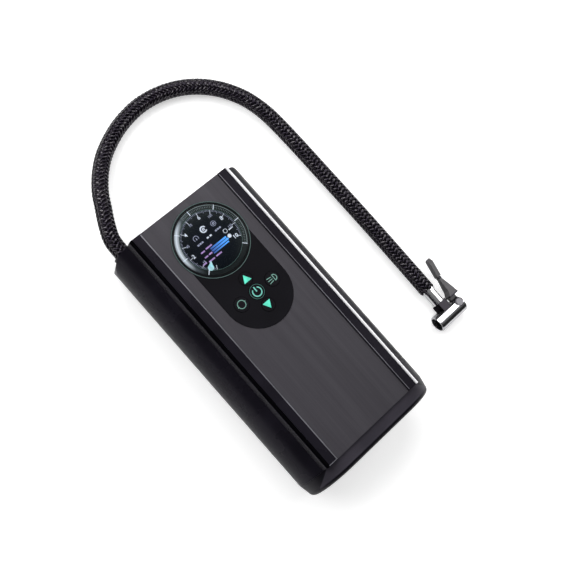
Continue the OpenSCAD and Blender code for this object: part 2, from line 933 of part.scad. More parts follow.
module crank_gear() {
  color([0.9, 0.88, 0.8])
    difference() {
      union() {
        along_x(gear_x, gear_x + gear_w)
          translate([gear_y, drive_z])
            rotate(180 / gear_teeth)
              polygon(gear_outline(gear_teeth));
        rod_x(gear_x + gear_w - 1, gear_x + gear_w + 1.5, gear_y + crank_r, drive_z, pin_d / 2 + 1);
      }
      rod_x(gear_x - 1, axle_x1 + 0.1, gear_y, drive_z, axle_d / 2 + running);
      rod_x(pin_x0, gear_x + gear_w + 3, gear_y + crank_r, drive_z, pin_d / 2);
      // lightening pockets in the face away from the rod
      for (a = [60, 180, 300])
        translate([gear_x - 1, gear_y, drive_z])
          rotate([a, 0, 0])
            translate([0, 8, 0])
              rotate([0, 90, 0])
                cylinder(h = 3, r = 2.6);
    }
}

module crank_pin() {
  color([0.8, 0.8, 0.82])
    rod_x(pin_x0, rod_x + rod_t / 2 + 0.8, gear_y + crank_r, drive_z, pin_d / 2);
}

module connecting_rod() {
  y0 = gear_y + crank_r;
  y1 = y0 + rod_l;
  x0 = rod_x - rod_t / 2;
  x1 = rod_x + rod_t / 2;
  color([0.75, 0.75, 0.78])
    difference() {
      union() {
        rod_x(x0, x1, y0, drive_z, rod_eye_r);
        rod_x(x0, x1, y1, drive_z, small_eye_r);
        translate([x0, y0, drive_z - 2.2])
          cube([rod_t, rod_l, 4.4]);
      }
      rod_x(x0 - 1, x1 + 1, y0, drive_z, pin_d / 2 + running);
      rod_x(x0 - 1, x1 + 1, y1, drive_z, wrist_d / 2);
      for (side = [-1, 1])
        translate([rod_x + side * 1.5 - (side > 0 ? 0 : 1), y0 + 7, drive_z - 1.2])
          cube([1, rod_l - 13, 2.4]);
    }
}

module wrist_pin() {
  color([0.8, 0.8, 0.82])
    rod_x(rod_x - wrist_l / 2, rod_x + wrist_l / 2, gear_y + crank_r + rod_l, drive_z, wrist_d / 2);
}

module piston() {
  r = bore_d / 2 - 0.1;
  y0 = piston_crown_y - piston_l;
  color([0.7, 0.7, 0.72])
    difference() {
      rod_y(y0, piston_crown_y, rod_x, drive_z, r);
      rod_y(y0 - 1, piston_crown_y - 3, rod_x, drive_z, r - 1.3);
      difference() {
        rod_y(piston_crown_y - 2.4, piston_crown_y - 0.9, rod_x, drive_z, r + 1);
        rod_y(piston_crown_y - 3, piston_crown_y, rod_x, drive_z, r - 1.1);
      }
    }
}

module piston_seal() {
  color([0.1, 0.1, 0.1])
    difference() {
      rod_y(piston_crown_y - 2.35, piston_crown_y - 0.95, rod_x, drive_z, bore_d / 2 - 0.02);
      rod_y(piston_crown_y - 3, piston_crown_y, rod_x, drive_z, bore_d / 2 - 1.2);
    }
}

module cylinder_barrel() {
  r = bore_d / 2 + cylinder_wall;
  rod_y(cylinder_y, head_y, rod_x, drive_z, r);
  rod_y(cylinder_y, cylinder_y + 2, rod_x, drive_z, head_r - 0.6);
  rod_y(head_y - 2, head_y, rod_x, drive_z, head_r - 0.6);
  for (y = [cylinder_y + 4:fin_pitch:head_y - 5])
    rod_y(y, y + fin_t, rod_x, drive_z, r + cylinder_wall);
}

module pump_cylinder() {
  color([0.78, 0.78, 0.8])
    difference() {
      cylinder_barrel();
      rod_y(cylinder_y - 1, head_y + 1, rod_x, drive_z, bore_d / 2);
    }
}

module cylinder_head() {
  y1 = head_y + plate_valve_t + head_l;
  color([0.7, 0.7, 0.72])
    difference() {
      union() {
        rod_y(head_y, y1, rod_x, drive_z, head_r);
        rod_x(rod_x - head_r - 7, rod_x, outlet_y, hose_z, nipple_d / 2);
        for (x = [-1.5:1:1.5])
          translate([rod_x + x * head_fin_pitch - fin_t / 2, y1 - 1, drive_z - bore_d / 2 + 3])
            cube([fin_t, head_fin_h + 1, bore_d - 6]);
      }
      rod_y(head_y + plate_valve_t, y1 - 2.5, rod_x, drive_z, bore_d / 2 - 2);
      rod_y(head_y - 1, y1 - 2.5, rod_x, drive_z, 1.2);
      rod_x(rod_x - head_r - 8, rod_x - 3, outlet_y, hose_z, 1);
      head_screw_holes(head_y - 1, y1 + 1, 1.25 + fit);
    }
}

module head_screw_holes(y0, y1, r) {
  for (a = [45:90:315])
    rod_y(y0, y1, rod_x + (head_r - 1.6) * cos(a), drive_z + (head_r - 1.6) * sin(a), r);
}

// flap over the outlet hole, inside the head
module outlet_reed() {
  y0 = head_y + plate_valve_t;
  color([0.8, 0.8, 0.82])
    difference() {
      union() {
        rod_y(y0, y0 + 0.3, rod_x, drive_z, 2.2);
        translate([rod_x - 1.4, y0, drive_z])
          cube([2.8, 0.3, 5.6]);
        rod_y(y0, y0 + 1.1, rod_x, drive_z + 4.4, 1.1);
      }
    }
}

module head_screws() {
  y1 = head_y + plate_valve_t + head_l;
  color([0.8, 0.8, 0.82]) {
    head_screw_holes(head_y, y1, 1.25);
    head_screw_holes(y1, y1 + 1.6, 2.1);
  }
}

// from the head's nipple across the body and round to the gland's nipple
module air_tube() {
  x0 = rod_x - head_r - 0.4;
  bend_x = hose_x + tube_bend;
  bend_y = outlet_y + tube_bend;
  color([0.85, 0.85, 0.85]) {
    difference() {
      rod_x(bend_x, x0, outlet_y, hose_z, tube_d / 2);
      rod_x(bend_x - 1, x0 + 1, outlet_y, hose_z, tube_hole / 2);
    }
    translate([bend_x, bend_y, hose_z])
      rotate(180)
        rotate_extrude(angle = 90)
          translate([tube_bend, 0])
            difference() {
              circle(tube_d / 2);
              circle(tube_hole / 2);
            }
    difference() {
      rod_y(bend_y, nut_y - 0.3, hose_x, hose_z, tube_d / 2);
      rod_y(bend_y - 1, nut_y, hose_x, hose_z, tube_hole / 2);
    }
  }
}

module pressure_sensor() {
  z0 = main_z + board_t;
  color([0.15, 0.15, 0.17])
    difference() {
      union() {
        translate([port_x - 4, outlet_y - 4.5, z0])
          cube([8, 9, hose_z - z0 + 4.5]);
        rod_z(z0, hose_z + 6, port_x, outlet_y, 3);
      }
      rod_x(port_x - 6, port_x + 6, outlet_y, hose_z, tube_d / 2 + seat);
    }
}

module rubber_mounts() {
  color([0.08, 0.08, 0.08])
    for (at = foot_points)
      difference() {
        rod_z(foot_z - mount_t, foot_z, at[0], at[1], mount_d / 2);
        rod_z(foot_z - 3, foot_z + 1, at[0], at[1], 1.25 + fit);
      }
}

module mount_screws() {
  color([0.8, 0.8, 0.82])
    for (at = foot_points) {
      rod_z(wall + 1, foot_z + foot_t, at[0], at[1], 1.25);
      rod_z(foot_z + foot_t, foot_z + foot_t + 1.5, at[0], at[1], 2.3);
    }
}

// ---- battery ----

module battery_cell(index) {
  at = cell_spots[index];
  pole = index == 2 ? -1 : 1;
  color([0.20, 0.45, 0.30])
    difference() {
      rod_x(-cell_l / 2, cell_l / 2, at[0], at[1], cell_r);
      difference() {
        rod_x(cell_l / 2 - 2.2, cell_l / 2 - 1.4, at[0], at[1], cell_r + 1);
        rod_x(cell_l / 2 - 3, cell_l / 2, at[0], at[1], cell_r - 0.3);
      }
      difference() {
        rod_x(pole * cell_l / 2 - 0.5, pole * cell_l / 2 + 0.5, at[0], at[1], cell_r - 1);
        rod_x(pole * cell_l / 2 - 1, pole * cell_l / 2 + 1, at[0], at[1], 4);
      }
    }
}

module battery_cell_1() { battery_cell(0); }

module battery_cell_2() { battery_cell(1); }

module battery_cell_3() { battery_cell(2); }

module battery_cradle() {
  y0 = cell_y - cell_r - 1;
  y1 = cell_y + cell_pitch + cell_r + 1;
  color([0.12, 0.12, 0.12])
    difference() {
      translate([-cradle_x, y0, wall])
        cube([2 * cradle_x, y1 - y0, cell_z - wall - 3]);
      for (i = [0, 1])
        rod_x(-cradle_x - 1, cradle_x + 1, cell_spots[i][0], cell_spots[i][1], cell_r + seat);
      for (x = [-10, 10])
        translate([x - 4, y0 - 1, wall - 1])
          cube([8, y1 - y0 + 2, 2]);
    }
}

module battery_strips() {
  color([0.8, 0.8, 0.82])
    for (side = [-1, 1])
      translate([side > 0 ? cell_l / 2 : -cell_l / 2 - strip_t, 0, 0]) {
        translate([0, cell_y - 3, cell_z - 3])
          cube([strip_t, cell_pitch + 6, 6]);
        translate([0, cell_spots[2][0] - 3, cell_z + 2])
          cube([strip_t, 6, cell_spots[2][1] - cell_z + 1]);
      }
}

// ---- hose and chuck ----

module hose_gland() {
  color([0.08, 0.08, 0.09])
    difference() {
      union() {
        rod_y(top_y, top_y + gland_l, hose_x, hose_z, gland_d / 2);
        rod_y(nut_y, top_y + 0.5, hose_x, hose_z, gland_d / 2 - 1);
        rod_y(nipple_y, nut_y + 1, hose_x, hose_z, nipple_d / 2);
      }
      rod_y(nipple_y - 1, top_y + gland_l + 1, hose_x, hose_z, 1.1);
    }
}

module gland_nut() {
  color([0.75, 0.75, 0.78])
    difference() {
      translate([hose_x, nut_y, hose_z])
        rotate([-90, 0, 0])
          cylinder(h = room_y1 - nut_y, r = gland_d / 2 + 0.4, $fn = 6);
      rod_y(nut_y - 1, room_y1 + 1, hose_x, hose_z, gland_d / 2 - 1);
    }
}

function blend(a, b, c, d, t) =
  0.5 * (2 * b + (c - a) * t + (2 * a - 5 * b + 4 * c - d) * t * t
    + (3 * b - a - 3 * c + d) * t * t * t);
function unit(v) = v / norm(v);

module hose() {
  n = len(hose_route);
  line = concat([2 * hose_route[0] - hose_route[1]], hose_route,
                [2 * hose_route[n - 1] - hose_route[n - 2]]);
  centres = [
    for (i = [1:n - 1])
      for (s = [0:hose_steps - 1])
        blend(line[i - 1], line[i], line[i + 1], line[i + 2], s / hose_steps),
    hose_route[n - 1]
  ];
  rings = len(centres);
  tangents = [for (i = [0:rings - 1])
    i == 0 ? [0, 1, 0] : i == rings - 1 ? [0, -1, 0] : unit(centres[i + 1] - centres[i - 1])];
  points = [for (i = [0:rings - 1])
    let (side = unit(cross(tangents[i], [0, 0, 1])), up = cross(side, tangents[i]))
    for (k = [0:hose_sides - 1])
      let (a = 360 * (k + 0.5) / hose_sides)
      centres[i] + hose_d / 2 * (cos(a) * side + sin(a) * up)];
  faces = [
    [for (k = [0:hose_sides - 1]) k],
    for (i = [0:rings - 2])
      for (k = [0:hose_sides - 1])
        let (a = i * hose_sides + k, b = i * hose_sides + (k + 1) % hose_sides)
        each [[a, a + hose_sides, b], [b, a + hose_sides, b + hose_sides]],
    [for (k = [hose_sides - 1:-1:0]) (rings - 1) * hose_sides + k]
  ];
  color([0.10, 0.09, 0.11])
    polyhedron(points, faces);
}

module chuck_stem() {
  y0 = hose_end[1] - stem_l;
  color([0.88, 0.88, 0.9])
    difference() {
      union() {
        rod_y(y0 + 0.2, hose_end[1], stem_x, chuck_z, stem_d / 2);
        rod_y(y0 - 1.8, y0 + 1, stem_x, chuck_z, 2);
        rod_y(hose_end[1] - 1.6, hose_end[1], stem_x, chuck_z, stem_d / 2 + 0.5);
      }
      rod_y(y0 - 3, hose_end[1] + 1, stem_x, chuck_z, 1.2);
    }
}

module chuck_collar() {
  y0 = barrel_y + barrel_r;
  color([0.35, 0.35, 0.38])
    difference() {
      translate([stem_x, y0 - 2.6, chuck_z])
        rotate([-90, 0, 0])
          cylinder(h = 6.2, r = 5.2, $fn = 6);
      rod_y(y0 - 4, y0 + 5, stem_x, chuck_z, stem_d / 2);
      rod_x(mouth_x, tail_x, barrel_y, chuck_z, barrel_r + seat);
    }
}

module chuck_barrel() {
  color([0.88, 0.88, 0.9])
    difference() {
      union() {
        rod_x(mouth_x + 0.6, tail_x - 0.6, barrel_y, chuck_z, barrel_r);
        rod_x(mouth_x, tail_x, barrel_y, chuck_z, barrel_r - 0.5);
      }
      rod_x(mouth_x - 1, gasket_x, barrel_y, chuck_z, mouth_d / 2);
      rod_x(gasket_x, chamber_x, barrel_y, chuck_z, gasket_r + seat);
      rod_x(gasket_x + 1, chamber_end, barrel_y, chuck_z, chamber_d / 2);
      rod_y(barrel_y, barrel_y + 8, stem_x, chuck_z, 2 + seat);
      translate([pivot[0] - 4, pivot[1] - 3.6, chuck_z - slot_w / 2])
        cube([10, 12, slot_w]);
      rod_z(chuck_z - 8, chuck_z + 8, pivot[0], pivot[1], lever_pin_d / 2);
      rod_z(pin_head_z, chuck_z + 8, pivot[0], pivot[1], pin_head_d / 2 + 0.15);
    }
}

module chuck_gasket() {
  color([0.07, 0.07, 0.07])
    difference() {
      rod_x(gasket_x, chamber_x, barrel_y, chuck_z, gasket_r);
      rod_x(gasket_x - 1, chamber_x + 1, barrel_y, chuck_z, 2.6);
    }
}

module chuck_plunger() {
  color([0.85, 0.75, 0.4]) {
    rod_x(plunger_x, plunger_x + plunger_l, barrel_y, chuck_z, chamber_d / 2 - running);
    rod_x(gasket_x + 1.4, plunger_x + 0.5, barrel_y, chuck_z, 1);
  }
}

module chuck_lever() {
  color([0.22, 0.22, 0.24])
    translate([pivot[0], pivot[1], 0])
      difference() {
        union() {
          along_z(chuck_z - tongue_t / 2, chuck_z + tongue_t / 2) {
            circle(2.9);
            translate([-1.6, 0])
              square([4.4, 6.4]);
          }
          // the arm widens towards the barrel in both directions
          intersection() {
            along_z(chuck_z - 5, chuck_z + 5)
              polygon([[-1.8, 5.2], [4.6, 5.2], [4.3, 9], [3.5, 17.5], [1.7, 17.5], [0.2, 9]]);
            along_x(-3, 6)
              translate([0, chuck_z])
                polygon([[5, -3.9], [5, 3.9], [8, 3.6], [18, 1.5], [18, -1.5], [8, -3.6]]);
          }
          along_z(chuck_z - 1.3, chuck_z + 1.3)
            polygon([[1.8, 17], [3.4, 17], [3.7, 19.6], [2.1, 19.6]]);
          intersection() {
            along_z(chuck_z - 3, chuck_z + 3)
              polygon([[1.5, 19], [4.1, 19], [6.9, lever_l], [4.3, lever_l]]);
            along_x(-3, 9)
              translate([0, chuck_z])
                polygon([[18, -2.3], [18, 2.3], [lever_l - 2.6, 2.3], [lever_l, -0.2],
                         [lever_l - 0.6, -2.3]]);
          }
        }
        rod_z(chuck_z - 8, chuck_z + 8, 0, 0, lever_pin_d / 2 + running);
      }
}

module lever_pin() {
  color([0.8, 0.8, 0.82]) {
    rod_z(chuck_z - 4.9, pin_head_z + 0.5, pivot[0], pivot[1], lever_pin_d / 2);
    rod_z(pin_head_z, chuck_z + barrel_r - 0.1, pivot[0], pivot[1], pin_head_d / 2);
    rod_z(pin_head_z, chuck_z + barrel_r + 0.2, pivot[0], pivot[1], pin_head_d / 2 - 0.4);
  }
}

housing();
back_cover();
back_screws();
front_plate();
trim_left();
trim_right();
bottom_cap();
cap_screws();
base_pad();
display_lens();
display_bezel();
display_module();
key_pod();
key_power();
key_up();
key_down();
key_mode();
key_lamp();
key_switches();
display_board();
board_screws();
main_board();
charging_port();
lamp_lens();
lamp_board();
motor_can();
motor_end_cap();
motor_shaft();
pinion();
compressor_frame();
gear_axle();
crank_gear();
crank_pin();
connecting_rod();
wrist_pin();
piston();
piston_seal();
pump_cylinder();
cylinder_head();
outlet_reed();
head_screws();
air_tube();
pressure_sensor();
rubber_mounts();
mount_screws();
battery_cell_1();
battery_cell_2();
battery_cell_3();
battery_cradle();
battery_strips();
hose_gland();
gland_nut();
hose();
chuck_stem();
chuck_collar();
chuck_barrel();
chuck_gasket();
chuck_plunger();
chuck_lever();
lever_pin();
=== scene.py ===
# Portable tire inflator with a round display and a braided hose
import json
import math

import bpy
import numpy as np
from mathutils import Matrix, Vector


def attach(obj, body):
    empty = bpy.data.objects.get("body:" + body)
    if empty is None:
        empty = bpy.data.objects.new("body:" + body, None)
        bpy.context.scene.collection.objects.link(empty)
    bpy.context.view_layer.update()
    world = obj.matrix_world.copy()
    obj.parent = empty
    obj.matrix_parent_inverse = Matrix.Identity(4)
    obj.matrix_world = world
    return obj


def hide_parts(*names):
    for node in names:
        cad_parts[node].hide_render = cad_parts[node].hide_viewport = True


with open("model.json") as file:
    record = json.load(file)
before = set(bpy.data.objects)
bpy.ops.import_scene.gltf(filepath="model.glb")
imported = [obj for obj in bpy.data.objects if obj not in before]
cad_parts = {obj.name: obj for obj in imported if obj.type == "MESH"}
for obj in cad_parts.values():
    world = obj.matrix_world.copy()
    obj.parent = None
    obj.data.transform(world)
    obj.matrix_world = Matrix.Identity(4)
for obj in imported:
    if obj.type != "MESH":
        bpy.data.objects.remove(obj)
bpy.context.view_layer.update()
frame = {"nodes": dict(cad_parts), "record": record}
nodes = frame["nodes"]
scene = bpy.context.scene
mm = 0.001
displayCentre = (0.0, 54.5)
print("frame loaded:", len(nodes), "nodes")

# camera, floor and light; angles in degrees, the camera's distance and target in mm
cameraSetup = {
    "azimuth": -82.18, "elevation": 70.49, "roll": 41.15, "distance": 552.8,
    "target": (22.86, 10.06, 23.0), "focalPixels": 997.9, "pictureWidth": 576,
    "sensor": 36.0, "nearest": 0.01, "farthest": 20.0,
}
floorSetup = {"height": -0.0001, "size": 4.0, "grey": 0.80, "lift": 0.50}
lampSetup = {
    # name: (where it stands, what it points at, width, height, watts)
    "leftBox": ((-0.42, 0.50, 0.62), (0.0, 0.0, 0.02), 0.45, 0.75, 4.0),
    "topBox": ((0.375, 0.90, 1.20), (0.05, 0.0, 0.02), 1.2, 0.90, 12.2),
    "rightBox": ((0.80, -0.05, 0.55), (0.03, 0.0, 0.02), 0.45, 1.1, 4.2),
}
worldSetup = {"soft": 0.35, "room": 0.025, "ceiling": 0.28, "ceilingStart": 0.55,
              "ceilingEnd": 0.95}


def makeCamera(setup):
    azimuth, elevation, roll = (math.radians(setup[k]) for k in ("azimuth", "elevation", "roll"))
    back = Vector((math.sin(azimuth) * math.cos(elevation),
                   -math.cos(azimuth) * math.cos(elevation), math.sin(elevation)))
    side = Vector((math.cos(azimuth), math.sin(azimuth), 0.0))
    up = side.cross(-back)
    turnedSide = math.cos(roll) * side + math.sin(roll) * up
    turnedUp = -math.sin(roll) * side + math.cos(roll) * up
    place = Vector(setup["target"]) * mm + back * setup["distance"] * mm
    data = bpy.data.cameras.new("camera")
    camera = bpy.data.objects.new("camera", data)
    scene.collection.objects.link(camera)
    turn = Matrix((turnedSide, turnedUp, back)).transposed().to_4x4()
    camera.matrix_world = Matrix.Translation(place) @ turn
    data.sensor_width = setup["sensor"]
    data.lens = setup["focalPixels"] / setup["pictureWidth"] * setup["sensor"]
    data.clip_start, data.clip_end = setup["nearest"], setup["farthest"]
    scene.camera = camera


def addLamp(name, place, target, width, height, watts):
    data = bpy.data.lights.new(name, "AREA")
    data.shape = "RECTANGLE"
    data.size, data.size_y = width, height
    data.energy = watts
    lamp = bpy.data.objects.new(name, data)
    scene.collection.objects.link(lamp)
    lamp.location = place
    lamp.rotation_mode = "QUATERNION"
    lamp.rotation_quaternion = (Vector(target) - Vector(place)).to_track_quat("-Z", "Y")


def linkNodes(tree, *pairs):
    # each end is a (node, socket) pair
    for (fromNode, fromSocket), (toNode, toSocket) in pairs:
        tree.links.new(fromNode.outputs[fromSocket], toNode.inputs[toSocket])


def setInputs(node, values):
    for socket, value in values.items():
        node.inputs[socket].default_value = value


def makeFloor(setup):
    bpy.ops.object.select_all(action="DESELECT")
    bpy.ops.mesh.primitive_plane_add(size=setup["size"], location=(0, 0, setup["height"]))
    floor = bpy.context.object
    floor.name = "floor"
    material = bpy.data.materials.new("paleFloor")
    material.use_nodes = True
    tree = material.node_tree
    tree.nodes.clear()
    diffuse = tree.nodes.new("ShaderNodeBsdfDiffuse")
    setInputs(diffuse, {"Color": (setup["grey"],) * 3 + (1,)})
    glow = tree.nodes.new("ShaderNodeEmission")
    path = tree.nodes.new("ShaderNodeLightPath")
    seen = tree.nodes.new("ShaderNodeMath")
    seen.operation = "MAXIMUM"
    strength = tree.nodes.new("ShaderNodeMath")
    strength.operation = "MULTIPLY"
    setInputs(strength, {1: setup["lift"]})
    total = tree.nodes.new("ShaderNodeAddShader")
    output = tree.nodes.new("ShaderNodeOutputMaterial")
    linkNodes(tree, ((path, "Is Camera Ray"), (seen, 0)),
              ((path, "Is Transmission Ray"), (seen, 1)), ((seen, 0), (strength, 0)),
              ((strength, 0), (glow, "Strength")), ((diffuse, 0), (total, 0)),
              ((glow, 0), (total, 1)), ((total, 0), (output, "Surface")))
    floor.data.materials.append(material)


def makeWorld(setup):
    # reflections see a darker room, with a soft brighter ceiling
    world = bpy.data.worlds.new("studio")
    scene.world = world
    world.use_nodes = True
    tree = world.node_tree
    tree.nodes.clear()
    path = tree.nodes.new("ShaderNodeLightPath")
    place = tree.nodes.new("ShaderNodeTexCoord")
    split = tree.nodes.new("ShaderNodeSeparateXYZ")
    ceiling = tree.nodes.new("ShaderNodeMapRange")
    ceiling.interpolation_type = "SMOOTHSTEP"
    setInputs(ceiling, {"From Min": setup["ceilingStart"], "From Max": setup["ceilingEnd"],
                        "To Min": setup["room"], "To Max": setup["ceiling"]})
    room = tree.nodes.new("ShaderNodeBackground")
    soft = tree.nodes.new("ShaderNodeBackground")
    setInputs(soft, {"Strength": setup["soft"]})
    white = tree.nodes.new("ShaderNodeBackground")
    glossyMix = tree.nodes.new("ShaderNodeMixShader")
    cameraMix = tree.nodes.new("ShaderNodeMixShader")
    output = tree.nodes.new("ShaderNodeOutputWorld")
    linkNodes(tree, ((place, "Generated"), (split, 0)), ((split, "Z"), (ceiling, "Value")),
              ((ceiling, 0), (room, "Strength")), ((path, "Is Glossy Ray"), (glossyMix, 0)),
              ((soft, 0), (glossyMix, 1)), ((room, 0), (glossyMix, 2)),
              ((path, "Is Camera Ray"), (cameraMix, 0)), ((glossyMix, 0), (cameraMix, 1)),
              ((white, 0), (cameraMix, 2)), ((cameraMix, 0), (output, "Surface")))


scene.view_settings.view_transform = "Standard"
makeCamera(cameraSetup)
makeFloor(floorSetup)
makeWorld(worldSetup)
for lampName, values in lampSetup.items():
    addLamp(lampName, *values)
print("camera, floor and lamps made")

# materials; colours are linear, scales per metre and depths in metres
coolTint = (0.92, 0.86, 1.0, 1)
rampStart, rampEnd = 0.35, 0.65
patchScale = 45.0

plainFinishes = {
    # colour, metallic, roughness, grain, grain depth, how far colour and roughness vary
    "housing_black": ((0.0075, 0.0066, 0.0102), 0.0, 0.27, 5200, 0.000010, 0.18, 0.07),
    # trim_bright: the right shoulder's polished chamfer, painted near-white as a highlight;
    # trim_black: its twin on the left, painted black as shade
    "trim_bright": ((0.86, 0.86, 0.88), 0.15, 0.30, 900, 0.000001, 0.05, 0.05),
    "trim_black": ((0.0015, 0.0014, 0.002), 0.0, 0.60, 1500, 0.000004, 0.10, 0.05),
    "gloss_black": ((0.0035, 0.0035, 0.0045), 0.0, 0.10, 300, 0.000001, 0.20, 0.04),
    "key_black": ((0.0035, 0.0035, 0.0045), 0.0, 0.14, 300, 0.000001, 0.20, 0.04),
    "rubber_black": ((0.016, 0.016, 0.017), 0.0, 0.75, 3500, 0.000030, 0.25, 0.08),
    "dark_steel": ((0.060, 0.060, 0.066), 1.0, 0.42, 2400, 0.000012, 0.20, 0.10),
    "steel": ((0.58, 0.58, 0.60), 1.0, 0.28, 1800, 0.000006, 0.10, 0.10),
    "brass": ((0.72, 0.54, 0.25), 1.0, 0.30, 1800, 0.000006, 0.12, 0.10),
    "cast_alloy": ((0.46, 0.47, 0.49), 1.0, 0.50, 1500, 0.000040, 0.15, 0.12),
    "inner_black": ((0.022, 0.022, 0.024), 0.0, 0.55, 3200, 0.000014, 0.20, 0.08),
    "gear_white": ((0.74, 0.70, 0.58), 0.0, 0.45, 1200, 0.000010, 0.06, 0.06),
    "white_plastic": ((0.74, 0.74, 0.73), 0.0, 0.40, 1200, 0.000008, 0.05, 0.06),
    "board_green": ((0.012, 0.090, 0.035), 0.0, 0.38, 900, 0.000016, 0.30, 0.08),
    "tube_clear": ((0.62, 0.62, 0.60), 0.0, 0.35, 700, 0.000006, 0.08, 0.06),
    "cell_wrap": ((0.020, 0.150, 0.075), 0.0, 0.30, 500, 0.000010, 0.15, 0.06),
    "chrome": ((0.78, 0.78, 0.80), 1.0, 0.12, 700, 0.000002, 0.04, 0.04),
    "dark_chrome": ((0.034, 0.031, 0.037), 1.0, 0.22, 900, 0.000005, 0.10, 0.06),
    "lever_grey": ((0.078, 0.074, 0.079), 0.2, 0.45, 3800, 0.000014, 0.15, 0.08),
}
pinFinish = ((0.22, 0.215, 0.23), 1.0, 0.38, 1500, 0.000004, 0.10, 0.06)
# weaker, cooler reflections on the black parts; none on trim_black, which keeps its painted shade
# dark
reflectionLevels = {"housing_black": 0.14, "trim_black": 0.0, "gloss_black": 0.4,
                    "key_black": 0.4}


def newMaterial(name):
    material = bpy.data.materials.new(name)
    material.use_nodes = True
    tree = material.node_tree
    shader = tree.nodes["Principled BSDF"]
    place = tree.nodes.new("ShaderNodeTexCoord")
    return material, tree, shader, place


def mappingNode(tree, place, values):
    mapping = tree.nodes.new("ShaderNodeMapping")
    setInputs(mapping, values)
    linkNodes(tree, ((place, "Object"), (mapping, "Vector")))
    return mapping, 0


def noiseNode(tree, place, scale, detail=3.0, stretch=(1, 1, 1)):
    mapping = mappingNode(tree, place, {"Scale": stretch})
    noise = tree.nodes.new("ShaderNodeTexNoise")
    setInputs(noise, {"Scale": scale, "Detail": detail})
    linkNodes(tree, (mapping, (noise, "Vector")))
    return noise, 0


def rampNode(tree, source, *stops):
    # stops are (position, colour) pairs from low to high
    ramp = tree.nodes.new("ShaderNodeValToRGB")
    elements = ramp.color_ramp.elements
    for element, (position, colour) in zip(elements, (stops[0], stops[-1])):
        element.position = position
        element.color = (*colour, 1)
    for position, colour in stops[1:-1]:
        elements.new(position).color = (*colour, 1)
    linkNodes(tree, (source, (ramp, 0)))
    return ramp, 0


def scaledColour(colour, share):
    return tuple(min(c * share, 1.0) for c in colour)


def bumpNode(tree, source, shader, depth):
    bump = tree.nodes.new("ShaderNodeBump")
    setInputs(bump, {"Distance": depth, "Strength": 1.0})
    linkNodes(tree, (source, (bump, "Height")), ((bump, 0), (shader, "Normal")))


def plainFinish(name, colour, metallic, roughness, grain, depth, colourSpread, roughnessSpread):
    material, tree, shader, place = newMaterial(name)
    setInputs(shader, {"Metallic": metallic})
    broad = noiseNode(tree, place, patchScale, 4.0)
    ramp = rampNode(tree, broad, (rampStart, scaledColour(colour, 1 - colourSpread)),
                    (rampEnd, scaledColour(colour, 1 + colourSpread)))
    wear = tree.nodes.new("ShaderNodeMapRange")
    setInputs(wear, {"To Min": max(roughness - roughnessSpread, 0.02),
                     "To Max": roughness + roughnessSpread})
    linkNodes(tree, (ramp, (shader, "Base Color")), (broad, (wear, "Value")),
              ((wear, 0), (shader, "Roughness")))
    bumpNode(tree, noiseNode(tree, place, grain, 2.0), shader, depth)
    return material


plateSetup = {"streaks": (2600, 26, 2600), "bands": (170, 7, 170), "streakShare": 0.5,
              "dark": (0.0295, 0.0265, 0.0340), "light": (0.0485, 0.0445, 0.0545),
              "grainDepth": 0.000010, "surface": {"Metallic": 0.35, "Roughness": 0.46}}


def brushedPlate(setup):
    # fine streaks along the body, with broad faint bands
    material, tree, shader, place = newMaterial("plate_grey")
    streaks = noiseNode(tree, place, 1.0, 3.0, setup["streaks"])
    bands = noiseNode(tree, place, 1.0, 2.0, setup["bands"])
    mixed = tree.nodes.new("ShaderNodeMath")
    mixed.operation = "MULTIPLY_ADD"
    setInputs(mixed, {1: setup["streakShare"]})
    linkNodes(tree, (streaks, (mixed, 0)), (bands, (mixed, 2)))
    ramp = rampNode(tree, (mixed, 0), (0.5, setup["dark"]), (1.0, setup["light"]))
    linkNodes(tree, (ramp, (shader, "Base Color")))
    setInputs(shader, setup["surface"])
    bumpNode(tree, streaks, shader, setup["grainDepth"])
    return material


# the cap's front face, painted lighter as the lit face, with painted black shade beyond it:
# where it starts, how it widens, how far it reaches (m) and how sharply it ends
capSetup = {"joint": -0.074, "halfWidth": 0.0332, "flare": 1.25, "faceLength": 0.0066,
            "lowest": 0.034, "sideSharpness": 2200.0, "endSharpness": 1400.0,
            "lowSharpness": 900.0, "black": (0.0045, 0.0042, 0.0062),
            "paintedLitFaceDark": (0.034, 0.031, 0.040), "paintedLitFaceLight": (0.044, 0.040, 0.051),
            "patches": 60.0, "grain": 4200.0, "grainDepth": 0.000010,
            "surface": {"Roughness": 0.36, "Specular IOR Level": 0.2, "Specular Tint": coolTint}}


